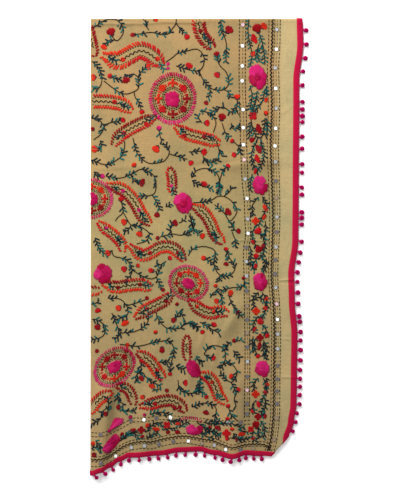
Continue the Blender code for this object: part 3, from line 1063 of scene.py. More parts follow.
class Ring:
    """Places on the rings of an oval medallion, by share of its size and angle."""

    def __init__(self, centre, half_long, half_wide, turn):
        self.centre = Vector(centre)
        self.half_long = half_long
        self.half_wide = half_wide
        self.turn = turn

    def at(self, share, degrees):
        """The place at a share of the size, at an angle from the long axis."""
        angle = math.radians(degrees)
        spot = Vector((math.cos(angle) * self.half_long, math.sin(angle) * self.half_wide)) * share
        return self.centre + turned(spot, self.turn)

    def toward(self, share, degrees):
        """The place at a share of the size that lies at an angle on the chart."""
        angle = math.radians(degrees - self.turn)
        stretched = math.atan2(math.sin(angle) * self.half_long, math.cos(angle) * self.half_wide)
        return self.at(share, math.degrees(stretched))


def add_medallion(sewing, ring, warm, light):
    """A disc, dashed rings, a ring of small flowers, and a rim of strokes with painted sheen on one side and
    painted shade on the other.
    """
    size = (ring.half_long + ring.half_wide) / 2
    for share in (0.375, 0.44, 0.735, 0.805):
        count = round(2 * math.pi * size * share / 2.6)
        for index in range(count):
            angle = 360 * index / count
            sewing.add(ring.at(share, angle), ring.at(share, angle + 250 / count), size * 0.046, "black")
    pitch = RIM_PITCH * (size / 25) ** 0.5
    count = round(2 * math.pi * size / pitch)
    for index in range(count):
        angle = 360 / count * (index + sewing.chance.uniform(-0.12, 0.12))
        # Painted sheen and shade of the rim: strokes toward the light way are pink, those away from it deep
        # pink
        toward = math.cos(math.radians(angle + ring.turn - light)) + sewing.chance.uniform(-0.5, 0.5)
        thread = "pink" if toward > 0.45 else "magenta" if toward > -0.8 else "wine"
        start = ring.at(sewing.chance.uniform(0.82, 0.85), angle)
        end = ring.at(sewing.chance.uniform(0.98, 1.02), angle - 2.5)
        add_stroke(sewing, start, end, pitch * 0.7, thread, 1.05)
    for index in range(8):
        heading = 45 * index
        spot = ring.toward(0.59, heading)
        facing = math.cos(math.radians(heading - warm))
        thread = "orange" if facing > 0.6 else "red" if facing > -0.25 else "crimson"
        if index % 2:
            add_petals(sewing, spot, size * 0.155, thread, 5, heading)
            add_oval(sewing, spot, size * 0.06, size * 0.06, heading, thread)
        else:
            add_cross(sewing, spot, size * 0.168, thread, heading)
        for beside in (-1, 1):
            way = heading + 22.5 + 4.5 * beside + sewing.chance.uniform(-1.5, 1.5)
            start = ring.toward(sewing.chance.uniform(0.48, 0.55), way)
            add_stroke(sewing, start, ring.toward(sewing.chance.uniform(0.62, 0.70), way), 1.5, thread)
    lobes = [
        (40 * index + sewing.chance.uniform(-6, 6), 19, sewing.chance.uniform(0.90, 1.12), "magenta")
        for index in range(9)
    ]
    add_satin_flower(sewing, ring.centre, ring.half_long * 0.33, ring.half_wide * 0.31, ring.turn, lobes)


# The cloth and its edges


def narrow_crease_lines():
    """Extra mesh lines down the cloth where a narrow crease runs nearly level."""
    extra = []
    for (_, start), (_, end), _, half in CREASES:
        if half < NARROW and abs(end - start) < LEVEL_DROP:
            middle = (start + end) / 2 * SQUARE
            extra += [middle + half * 0.001 * share for share in (-1.6, -0.8, 0.0, 0.8, 1.6)]
    return extra


def merged_lines(lines, extra, closest):
    """Mesh lines in order, leaving out an even line that comes too near an extra one."""
    kept = [line for line in lines if min((abs(line - other) for other in extra), default=1.0) > closest]
    return sorted(kept + [line for line in extra if min(lines) < line < max(lines)])


def make_cloth(sizes, colours):
    """The showing quarter as a thin shell, turned down over both folds and under at the corner."""
    step = sizes.cloth_step
    across = curl_lines() + steps_between(0.0, QUARTER_WIDTH, step)
    along = curl_lines() + steps_between(0.0, QUARTER_LENGTH, step)
    along = merged_lines(along, narrow_crease_lines(), step * 0.3)
    cotton = cotton_material("Slub cotton", colours.cotton)
    made = finish_mesh("cloth", laid_grid(across, along), [cotton])
    thicken(made, CLOTH)
    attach(made, "root")
    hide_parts("cloth_face")
    return made


def pad_outline(inset_free, inset_left, inset_top):
    """The hidden layers' outline from above, drawn in from each edge and set back at the corner."""
    left, top = inset_left, inset_top
    blunt = 0.004

    def side(y):
        return along_table(SIDE_EDGE, y) - inset_free

    def hem(x):
        return along_table(HEM_EDGE, x) - inset_free

    foot = hem(0.48)
    right = side(foot)
    points = [(left + (side(0) - left) * step / 24, top) for step in range(1, 24)]
    points += [(side(0) - blunt, top), (side(0) - blunt * 0.3, top + blunt * 0.3)]
    points += [(side(y), y) for y in (foot * step / 90 + blunt * (step == 0) for step in range(90))]
    points.append((right, foot))
    points += [(x, hem(x)) for x in (right - (right - left) * step / 60 for step in range(1, 60))]
    points += [(left + blunt, hem(left)), (left + blunt * 0.3, hem(left) - blunt * 0.3)]
    points += [
        (left, top + (hem(left) - top) * step / 60 - blunt * (step == 60)) for step in range(60, 0, -1)
    ]
    points += [(left, top + blunt), (left + blunt * 0.3, top + blunt * 0.3)]
    return [behind_corner(point, inset_free - PAD_INSET) for point in points]


def behind_corner(point, more):
    """Draws a point back behind the slanting line where the corner's flap lies."""
    out = Vector((math.cos(CORNER_SLOPE), math.sin(CORNER_SLOPE)))
    beyond = (Vector(point) - Vector(CORNER_POINT)).dot(out) + CORNER_SETBACK + more
    return Vector(point) - out * max(beyond, 0.0)


def pad_rings():
    """Rings of the layers from the floor up: (height, inset at free edges, at the left, at the top)."""
    layer = PAD_HEIGHT / LAYERS_BELOW
    free_insets = (PAD_INSET, PAD_INSET + 0.0022, PAD_INSET - 0.0014)
    rings = []
    for index, free in enumerate(free_insets):
        low = index * layer
        under_fold = index * layer + layer / 2 > PAD_HEIGHT / 2 - CLOTH
        left = 0.0012 if under_fold else CLOTH - FOLD_RADIUS
        for step in range(PAD_STEPS):
            angle = math.pi * step / PAD_STEPS - math.pi / 2
            drawn_in = PAD_GROOVE * (1 - math.cos(angle))
            height = low + layer * (0.5 + 0.5 * math.sin(angle))
            rings.append((height, free + drawn_in, left + drawn_in, 0.0010 + drawn_in))
    last = free_insets[-1] + PAD_GROOVE
    rings.append((PAD_HEIGHT, last, 0.0012 + PAD_GROOVE, 0.0010 + PAD_GROOVE))
    return rings


def make_layers(colours):
    """The three hidden quarters as one soft stack with a groove between each two, taped at the free edges."""
    mesh = bmesh.new()
    loops = []
    for height, free, left, top in pad_rings():
        outline = pad_outline(free, left, top)
        loops.append([mesh.verts.new(to_world(Vector((x, y, height)))) for x, y in outline])
    for lower, upper in zip(loops, loops[1:]):
        count = len(lower)
        for index in range(count):
            after = (index + 1) % count
            side = mesh.faces.new((lower[after], lower[index], upper[index], upper[after]))
            spot = side.calc_center_median()
            at_left = spot.x < CORNER_X + PAD_INSET / 2
            at_top = spot.y > CORNER_Y - PAD_INSET / 2
            side.material_index = 0 if at_left or at_top else 1
    mesh.faces.new(loops[0])
    mesh.faces.new(reversed(loops[-1]))
    bmesh.ops.recalc_face_normals(mesh, faces=mesh.faces)
    materials = [cotton_material("Inner cotton", colours.inner), tape_material("Inner tape", colours.tape)]
    made = finish_mesh("folded_layers", mesh, materials)
    made.data.set_sharp_from_angle(angle=math.radians(50))
    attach(made, "root")
    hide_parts("cloth_layers")
    return made


def tape_height(share):
    """How far a tape's middle surface stands off the cloth's, at a share of its width."""
    rim = min(share, 1 - share)
    return CLOTH / 2 + SEAM_GAP + TAPE / 2 + TAPE_CROWN * smooth(rim / 0.3)


def make_tape(name, node, across, along, height, colours):
    """One stretch of edging tape, softly crowned, on the cloth's own form."""
    tape = tape_material("Edging tape", colours.tape)
    made = finish_mesh(name, laid_grid(across, along, height), [tape])
    thicken(made, TAPE)
    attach(made, "root")
    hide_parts(node)
    return made


def make_tapes(sizes, colours):
    """The tapes along the side and the hem, mitred where they meet."""
    start = QUARTER_WIDTH - SIDE_BINDING_WIDTH
    across = [start] + steps_between(start, QUARTER_WIDTH, SIDE_BINDING_WIDTH / TAPE_PARTS)
    along = curl_lines() + steps_between(0.0, QUARTER_LENGTH, sizes.cloth_step)
    along = merged_lines(along, narrow_crease_lines(), sizes.cloth_step * 0.3)
    side = make_tape(
        "side_tape", "side_binding", across, along,
        lambda s, t: tape_height((s - start) / SIDE_BINDING_WIDTH), colours
    )
    top = QUARTER_LENGTH - HEM_BINDING_WIDTH
    along = [top] + steps_between(top, QUARTER_LENGTH, HEM_BINDING_WIDTH / TAPE_PARTS)
    across = curl_lines() + steps_between(0.0, start - MITRE_GAP, sizes.cloth_step)
    hem = make_tape(
        "hem_tape", "hem_binding", across, along,
        lambda s, t: tape_height((t - top) / HEM_BINDING_WIDTH), colours
    )
    return side, hem


def uneven_places(stretches, seed):
    """Places along an edge, with the small unevenness of a hand-sewn trim."""
    found = []
    for start, end, count in stretches:
        for index in range(count):
            wander = math.sin(12.9898 * (index + seed) + 78.233 * start) * UNEVEN
            found.append(start + (end - start) * index / (count - 1) + wander)
    return found


def edge_frame(on_side, where):
    """A place of the free edge, the level way out of the cloth and the way along the edge."""

    def at(place_along):
        spot = (QUARTER_WIDTH, place_along) if on_side else (place_along, QUARTER_LENGTH)
        return to_world(laid(*spot))

    way = (at(where + 0.002) - at(where - 0.002)).normalized()
    out = way.cross(Vector((0, 0, 1))).normalized()
    if out.dot(Vector((1, 0, 0)) if on_side else Vector((0, -1, 0))) < 0:
        out.negate()
    return at(where), out, way


def braid(mesh, on_side, ends):
    """The trim's heading: a narrow cord of two plies wound together, along the edge."""
    places = [ends[0]] + steps_between(ends[0], ends[1], BRAID_STEP)
    for ply in range(2):
        rings = []
        for index, where in enumerate(places):
            point, out, way = edge_frame(on_side, where)
            up = out.cross(way).normalized()
            phase = index * BRAID_TURN + math.pi * ply
            middle = point + out * (TRIM_GAP + TRIM_WIDTH / 2)
            middle += (out * math.cos(phase) + up * math.sin(phase)) * TRIM_WIDTH * 0.22
            spots = []
            for corner in range(BRAID_SIDES):
                angle = 2 * math.pi * corner / BRAID_SIDES
                spots.append(middle + (out * math.cos(angle) + up * math.sin(angle)) * TRIM_WIDTH * 0.27)
            rings.append([mesh.verts.new(spot) for spot in spots])
        join_rings(mesh, rings)


def join_rings(mesh, rings):
    """A closed tube through rings of points."""
    for before, after in zip(rings, rings[1:]):
        for corner in range(len(before)):
            following = (corner + 1) % len(before)
            mesh.faces.new((before[corner], before[following], after[following], after[corner]))
    mesh.faces.new(rings[0])
    mesh.faces.new(reversed(rings[-1]))


def add_pompom_stem(mesh, start, end, width):
    """A short thread from the braid into a pompom."""
    way = (end - start).normalized()
    side = way.cross(Vector((0, 0, 1))).normalized()
    up = side.cross(way)
    rings = []
    for share, size in ((0.0, 1.2), (0.4, 0.9), (1.0, 1.0)):
        spots = []
        for corner in range(6):
            angle = math.pi * corner / 3
            away = (side * math.cos(angle) + up * math.sin(angle)) * width * size / 2
            spots.append(start.lerp(end, share) + away)
        rings.append([mesh.verts.new(spot) for spot in spots])
    join_rings(mesh, rings)


def make_trim(name, node, on_side, stretches, ends, sizes, colours):
    """The pompoms of one edge with their braid."""
    chance = random.Random(11 if on_side else 12)
    strip = bmesh.new()
    braid(strip, on_side, ends)
    rows = []
    for index, where in enumerate(uneven_places(stretches, 1 if on_side else 4)):
        point, out, way = edge_frame(on_side, where)
        way = Vector((way.x, way.y, 0)).normalized()
        reach = (out + way * SWAY * math.sin(7.3 * index + 1.3)).normalized()
        radius = sizes.pompom_radius * POMPOM_SHARES[name] * chance.uniform(0.92, 1.08)
        tucked = on_side and point.y < CORNER_Y - TUCKED_FROM * SQUARE
        radius *= TUCKED_SIZE if tucked else 1.0
        centre = point + reach * POMPOM_REACHES[name] * (TUCKED_REACH if tucked else 1.0)
        centre.z = max(point.z - POMPOM_DROP, radius + FLOOR_GAP)
        add_pompom_stem(strip, point + out * (TRIM_GAP + TRIM_WIDTH / 2), centre, STEM_WIDTHS[name])
        turn = Vector([chance.uniform(-1, 1) for _ in range(3)]).normalized().to_track_quat("Z", "Y")
        stretch = [radius * chance.uniform(0.94, 1.06) for _ in range(3)]
        rows.append((centre, turn, stretch, colours.wool))
    bmesh.ops.recalc_face_normals(strip, faces=strip.faces)
    wool = wool_material("Pompom wool", colours.wool)
    heading = finish_mesh(name + "_braid", strip, [tape_material("Trim cord", colours.cord)])
    balls = grown_from_points(name, rows, pompom_tree("Pompoms"), {"Wool": wool, "Seed": 4 if on_side else 9})
    for piece in (balls, heading):
        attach(piece, "root")
        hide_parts(node)
    return balls, heading


# Mirrors


def make_mirrors(sizes, colours, threads):
    """Small mirrors with a thread frame, each coloured with its own painted reflection."""
    ground = cloth_ground()
    chance = random.Random(31)
    plates = bmesh.new()
    # The colour layer named thread carries each mirror's painted reflection
    painted_reflection = plates.verts.layers.float_color.new("thread")
    frames = Sewing(32)
    half = sizes.mirror_width / 2
    for u, v, shade in mirror_places():
        found = on_cloth(ground, (u, v))
        if found is None:
            continue
        point, up = found
        up = (up + Vector((chance.uniform(-0.05, 0.05), chance.uniform(-0.05, 0.05), 0))).normalized()
        across = up.cross(Vector((0, 1, 0))).normalized().cross(up)
        side = across.cross(up)
        spin = chance.uniform(-0.35, 0.35)
        rings = []
        for size, height in MIRROR_RINGS:
            ring = []
            for corner in range(MIRROR_SIDES):
                angle = 2 * math.pi * corner / MIRROR_SIDES
                away = half * size * (1 - MIRROR_SQUARED * math.cos(4 * angle))
                flat = across * math.cos(angle + spin) + side * math.sin(angle + spin)
                ring.append(plates.verts.new(point + flat * away + up * height))
            for vertex in ring:
                vertex[painted_reflection] = (*MIRROR_PAINTED_REFLECTIONS[shade], 1.0)
            rings.append(ring)
        join_rings(plates, rings)
        radius = half / SQUARE
        for count in range(FRAME_STITCHES):
            angle = 2 * math.pi * count / FRAME_STITCHES
            out = Vector((math.cos(angle), math.sin(angle)))
            start = Vector((u, v)) + out * radius * 0.86
            frames.add(start, Vector((u, v)) + out * (radius + 0.35), 0.6, "frame", lift=0.0005)
    bmesh.ops.recalc_face_normals(plates, faces=plates.faces)
    made = finish_mesh("mirrors", plates, [mirror_material("Little mirrors")], soft=False)
    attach(made, "root")
    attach(frames.sew("mirror_frames", sizes, threads), "root")


# The chart of motifs, in squares to the right of the left fold and down from the top fold

# Medallions: centre, half length, half width, tilt of the long axis, and the ways to its warmest flowers
# and to the lightest part of its rim, where pink strokes paint its sheen, with deep pink ones as painted
# shade on the far side
MEDALLIONS = (
    ((80.7, 78.7), 26.4, 24.1, 90, -135, 100),
    ((0.0, 178.6), 21.7, 20.5, 0, -60, -20),
    ((96.5, 263.0), 21.0, 18.2, 25, -45, -80),
    ((22.5, 346.5), 23.5, 18.0, -42, 65, 135),
)

# The arc of a fifth medallion that shows above the hem's border: centre, radius, first and last angle
RIM_ARC = ((98.0, 416.0), 20.0, -128, -52)
RIM_ARC_STROKES = 13

# Satin flowers: centre, half width, half height, tilt, then the lobes in deep pink, in magenta and in pink,
# each given as (way from the centre, half spread, reach), and last the thread and the reach of the rosette in
# the middle. The deep pink lobes are painted shade and the pink lobes painted sheen, darker and lighter
# copies of the magenta satin
BIG_FLOWERS = (
    ((91.1, 183.0), 10.0, 10.8, 0, ((150, 25, 0.8), (118, 22, 0.86)),
     ((88, 26, 0.98), (62, 9, 1.12), (36, 20, 0.98), (10, 16, 0.98), (-25, 20, 0.9), (-50, 16, 0.92)),
     ((-172, 16, 0.97), (-145, 24, 1.0), (-92, 26, 1.0)), "wine", 0.45),
    ((10.9, 253.3), 9.4, 10.5, 0, ((-108, 32, 0.97), (42, 20, 1.0), (95, 26, 1.0)),
     ((-48, 20, 0.93), (-15, 20, 0.98), (13, 18, 1.0)), ((165, 26, 1.03), (200, 18, 0.86)), "magenta", 0.4),
    ((101.4, 348.7), 9.6, 6.8, 62, ((-95, 28, 0.96), (-45, 28, 0.98)),
     ((0, 26, 1.0), (50, 28, 0.95), (100, 26, 0.95), (140, 22, 1.0), (180, 22, 1.02), (-140, 20, 1.0)), (),
     "magenta", 0.4),
    ((17.5, 410.0), 16.5, 16.5, 0, (), ((-55, 11, 0.92),), ((-40, 9, 1.08),), "magenta", 0.1),
    ((165.6, 57.0), 9.6, 13.0, 0, ((165, 26, 0.95), (128, 26, 0.84)),
     ((70, 24, 1.05), (33, 20, 1.02), (-2, 22, 0.97)),
     ((-138, 26, 1.05), (-95, 30, 0.98), (-50, 26, 0.86)), "wine", 0.35),
    ((168.2, 165.9), 8.3, 10.1, 0, ((0, 14, 0.98), (28, 16, 1.0), (68, 22, 0.97)),
     ((132, 28, 0.9), (185, 20, 0.96), (-160, 20, 0.97)),
     ((-118, 24, 1.06), (-78, 24, 0.98), (-48, 14, 0.88)), "pink", 0.42),
    ((168.3, 261.5), 7.5, 9.5, 0, ((-68, 24, 0.98), (36, 18, 0.98)),
     ((-38, 12, 0.88), (4, 18, 1.0), (78, 26, 1.03), (130, 24, 1.02), (165, 20, 0.95)),
     ((-150, 22, 1.05), (-112, 22, 0.96)), "pink", 0.35),
    ((170.1, 348.8), 7.7, 8.6, 0, (), ((60, 26, 1.05), (115, 24, 0.85), (170, 28, 0.96)),
     ((-125, 30, 1.0), (-70, 28, 1.0), (-20, 26, 0.97), (15, 18, 1.0)), "pink", 0.4),
    ((19.8, 423.2), 10.6, 5.2, -50, ((45, 26, 1.1), (95, 26, 1.0)),
     ((-90, 30, 1.0), (-42, 28, 1.1), (0, 26, 0.98), (140, 26, 1.08)), ((180, 26, 1.0), (-138, 28, 1.1)),
     "magenta", 0.5),
    ((102.6, 409.6), 8.8, 5.6, 0, ((-28, 26, 1.05), (20, 26, 0.95)), ((62, 24, 0.95), (100, 26, 1.0)),
     ((150, 28, 1.0), (-160, 24, 1.02), (-118, 20, 0.98)), "pink", 0.4),
)

# Curled leaves: spine, half width inside and outside the strokes, the threads of the first row from its
# start to its tip and of the second row, which lies to the right of the way along the spine
PLUMES = (
    (((12, 36), (26, 40.6), (37, 35.6), (47, 31), (56, 33), (63.5, 38.7), (71, 46)), 5.0, 9.4,
     ("orange", "red"), ("orange", "red")),
    (((-6, 81.5), (8, 81.5), (18, 82), (30, 84.5), (40, 91)), 4.2, 7.3, ("red", "orange"),
     ("orange", "orange")),
    (((63, 97), (50, 103), (38, 109), (28, 116), (21, 126)), 3.65, 6.75, ("red", "red"),
     ("crimson", "crimson")),
    (((84, 107), (95, 114), (110, 118), (128, 123)), 3.65, 6.75, ("red", "orange"), ("orange", "orange")),
    (((105.5, -4), (107, 6), (109.5, 14.5), (114.5, 21.5), (122.5, 29)), 3.1, 7.0, ("crimson", "crimson"),
     ("red", "crimson")),
    (((78, 149), (80, 160), (80, 173)), 2.3, 5.4, ("crimson", "crimson"), ("red", "red")),
    (((16, 165), (29, 169), (37, 175), (44, 184), (50, 195), (59, 205)), 3.65, 6.75, ("orange", "orange"),
     ("crimson", "crimson")),
    (((7, 203), (14, 209), (22, 215), (29, 223), (31, 232)), 2.9, 6.0, ("orange", "orange"),
     ("red", "red")),
    (((38, 226), (50, 235), (60, 232), (68, 227.5), (78, 227), (86, 232), (93, 242)), 3.5, 6.6,
     ("red", "crimson"), ("orange", "orange")),
    (((12, 264), (24, 267), (36, 265.5), (48, 264.5), (61, 268)), 3.5, 6.6, ("crimson", "red"),
     ("orange", "orange")),
    (((-8, 271), (0, 271), (9, 270)), 2.2, 5.3, ("crimson", "crimson"), ("orange", "orange")),
    (((44, 297), (54, 290), (64, 285), (73, 280), (80, 273)), 3.5, 6.6, ("orange", "red"),
     ("crimson", "crimson")),
    (((98, 281), (108, 289), (118, 293), (128, 291.5), (137, 294)), 3.5, 6.6, ("red", "orange"),
     ("crimson", "red")),
    (((101, 186), (112, 193), (119, 204), (123, 214), (132, 224)), 3.5, 6.6, ("orange", "orange"),
     ("crimson", "crimson")),
    (((46, 333), (53, 337), (60, 343), (66, 352), (73, 360)), 3.35, 6.45, ("red", "orange"),
     ("crimson", "orange")),
    (((26, 366), (34, 368), (39, 374), (42, 385)), 2.6, 5.7, ("crimson", "crimson"),
     ("crimson", "crimson")),
    (((19, 372), (10, 377), (3, 384), (-2, 393)), 3.1, 6.2, ("orange", "orange"), ("red", "red")),
    (((49, 386), (60, 383.5), (70, 381), (80, 380.5), (88, 385), (94, 392)), 3.35, 6.45,
     ("crimson", "crimson"), ("red", "crimson")),
    (((95, 317), (94.5, 330), (96, 341)), 1.9, 5.0, ("crimson", "crimson"), ("crimson", "crimson")),
    (((109, 354), (118, 358), (123, 366), (127, 376), (135, 383)), 3.35, 6.45, ("orange", "orange"),
     ("red", "orange")),
    (((-4, 4), (-2, 14), (0.5, 25), (3, 37)), 2.2, 5.8, ("crimson", "crimson"), ("crimson", "crimson")),
)

# Sprigs inside the curled leaves: from, to
SPRIGS = (
    ((16, 37), (25, 42)), ((67, 42), (72, 50)), ((27, 83), (37, 88)), ((64, 95), (56, 101)),
    ((33, 112), (25, 119)), ((88, 109), (92, 113)), ((112, 116), (121, 118)), ((111, 14), (119, 25)),
    ((80, 167), (82, 175)), ((19, 166), (27, 170)), ((48, 192), (54, 201)), ((24, 217), (30, 223)),
    ((44, 232), (52, 236)), ((86, 232), (91, 239)), ((16, 264), (23, 268)), ((51, 264), (58, 267)),
    ((47, 294), (53, 289)), ((75, 280), (79, 274)), ((123, 291), (131, 292)), ((119, 212), (125, 219)),
    ((63, 352), (69, 359)), ((28, 366), (34, 369)), ((52, 385), (59, 383)), ((112, 356), (118, 359)),
    ((124, 374), (129, 380)),
)


def vines_of(text):
    """Vines, one to a line: the places of the stem as across,down, a bar, and the places with leaves.

    A line that starts with a space goes on with the vine before it.
    """

    def places(part):
        return tuple(tuple(map(float, place.split(","))) for place in part.split())

    lines = text.strip().replace("\n ", " ").splitlines()
    return tuple(tuple(map(places, line.split("|"))) for line in lines)


# Vines: points along the stem, and the places on it that bear leaves
VINES = vines_of("""
0,8 8,4 14,0 24,0 28,3 31,8 31,14 25,21 19,15 | 8,5 29,4
25,21 19,20 15,22 12,27 | 17,22
41,15 52,13.5 60,12.5 68,14.5 76,14 81,8 84,3 84,-2 | 47,14 67,14 75,14
84,3 88,9 92,13 | 89,10
57,10 54,6 54,-2 | 55,5
74,42 80,38 85,34 93,31.5 106,29.5 112,38 111,46 107,52 | 89,32 112,37
84,46 97,50 107,52 111,60 120,69 132,69.5 137,62 134,52 128,46 124.5,36 | 89,47 103,51 114,63 126,70 136,61
 126.5,41
132,69.5 136,72 139,78 | 137,74
118,67 118,73 116,79 | 118,75
0,41 8,50 10,60 7,68 -2,69 | 4,46 10,54 3,68
12,61 25,71 34,74 45,70 47,63 46,57 50,51 55,47 | 26,71 47,63 51,50
46,57 41,54 33,57 | 38,54
18,56 24,59 30,60 | 24,59
42,72.5 43,77 47,83 49,90 | 46,82
-2,99 5,98 9,102 12,107 8,115 1,120 | 3,98 11,108
12,107 17,103 28,101 | 23,102
67,110 68,116 70,121 | 68,116
129,-2 129,10 134,22 134,42 | 129,3 129.5,11 134,31 134,39
129,12 135,17 |
145,80 145,86 144,90 148,96 | 145,86
144,90 136,93 | 140,91
136,90 130,87 120,92 | 129,88 122,91
130,103 133,112 137,119 | 134,114
108,91 117,93 122,98 124,104 121,113 | 108,92 119,95
110,103 107,99 105,94 | 107,98
139,103 141,109 149,107 | 142,108
8,121 10,126 6,129 | 9,124
-2,139 10,144 18,144 29,137 32,130 33,120 | 0,140 17,144 30,134
41,118 45,133 54,142 62,143.5 72,141 77,134 76,128 70,122 | 43,127 47,137 65,143 76,128
77,134 84,136 97,140 | 86,137
97,132 110,131 | 101,132
2,152 5,156 10,157 | 4,154
14,156 28,158 40,154 50,149.5 62,156 64,168 60,175 44,176 | 18,157 38,155 54,150 64,160 52,176
39,155 42,161 48,162 | 43,161
60,175 64,181 68,190 | 63,181 67,187
29,181 31,192 26,197 23,202 | 30,186
31,192 39,205 47,206 57,213 54,221 44,224 | 44,206 56,217
39,205 36,210 30,212 | 36,209
68,217 80,214 90,215 101,210 100,203 97,195 | 74,215 94,214 100,204
80,214 78,208 80,204 | 78,207
3,218 7,228 14,234 20,230 | 5,222 10,232
124,121 127,130 131,138 | 128,133
111,136 113,141 121,142 128,138 | 114,141 123,142
142,122 147,127 148,133 | 147,129
136,147 131,150 128,160 127,170 124,176 | 134,148 128,165
100,158 104,151 112,148.5 120,150 127,158 126,174 | 101,155 119,150 127,168
100,161 107,165 121,169 | 103,163 117,167
101,183 117,181 127,176 137,179 145,190 138,201 132,193 122,184 | 113,182 142,186 128,190
132,176 137,172 141,166 | 137,172
98,193 101,209 108,214 | 100,203 103,211
144,211 140,206 139,202 | 141,207
140,212 143,220 144,230 | 143,222
134,231 137,236 135,241 | 136,235
96,236 101,229 112,226.5 123,231 122,245 128,255 138,255 143,247 136,236 | 100,230 123,235 122,247 133,255
 143,245
114,239 121,243 | 118,241
128,255 127,262 | 127,258
20,230 22,236 35,240 40,252 33,261 | 32,239 39,246 35,258
40,250 55,258 64,257 69,246 | 50,256 68,252
74,241 68,245 64,243 | 69,244
64,257 67,263 70,268 | 67,262
16,278 28,279 34,285 36,290 34,296 22,300 | 19,278 35,287 32,297
37,285 50,281 54,279 | 43,282
-2,285 4,283 8,280 | 3,284
-2,299 5,300 13,306 11,316 -2,320 | 3,300 13,308 5,319
20,293 26,308 29,313 22,320 | 22,298 27,310 25,318
29,313 44,311 55,303 57,291 | 36,314 51,307 57,296
64,292 66,299 75,308 88,308 94,303 108,308 | 66,299 79,309 92,305 102,305
84,298 88,292 94,303 | 87,295
28,324 46,326 64,322 77,321 82,330 79,343 | 41,325 62,323 76,320 82,332
66,342 78,342 | 72,342
152,260 152,266 138,268 129,272 131,286 | 150,266 134,269 130,278
137,277 142,288 151,298 | 140,285 147,292
118,278 122,272 128,271 | 121,273
96,302 101,304 108,310 | 101,305
108,302 118,308 127,313 | 113,305 123,310
139,322 134,326 134,332 | 136,325
144,321 150,320 | 147,321
112,334 118,326 131,328 133,340 127,350 | 116,327 132,331 131,344
112,334 117,338 121,337 | 116,337
131,344 138,342.5 145,352 139,362 128,353 | 137,343 144,355 132,357
45,353 50,352 57,360 69,367 60,371 | 48,353 57,361 67,368
49,342 49,350 44,356 45,363 | 49,348 44,358
79,352 78,346 | 79,350
84,346 93,350 | 88,348
86,360 87,368 92,372 100,373 107,370 108,362 | 88,369 98,373 107,368
16,392 17,384 16,375 | 16,382 16,389
16,386 10,392 9,398 -1,404 | 10,394 3,402
26,372 26,380 31,384 31,391 44,390 | 26,376 31,388 41,390
58,394 68,392 79,395 | 62,393 74,393
108,356 108,362 107,368 112,375 | 108,361 109,371
139,362 144,372 142,378 144,386 | 141,368 144,383
100,387 107,384 115,383 124,388 122,402 | 104,385 118,384 124,396
137,388 139,394 145,400 | 139,393
104,336 106,340 111,343 | 106,340
141,330 144,335 148,339 | 144,335
""")

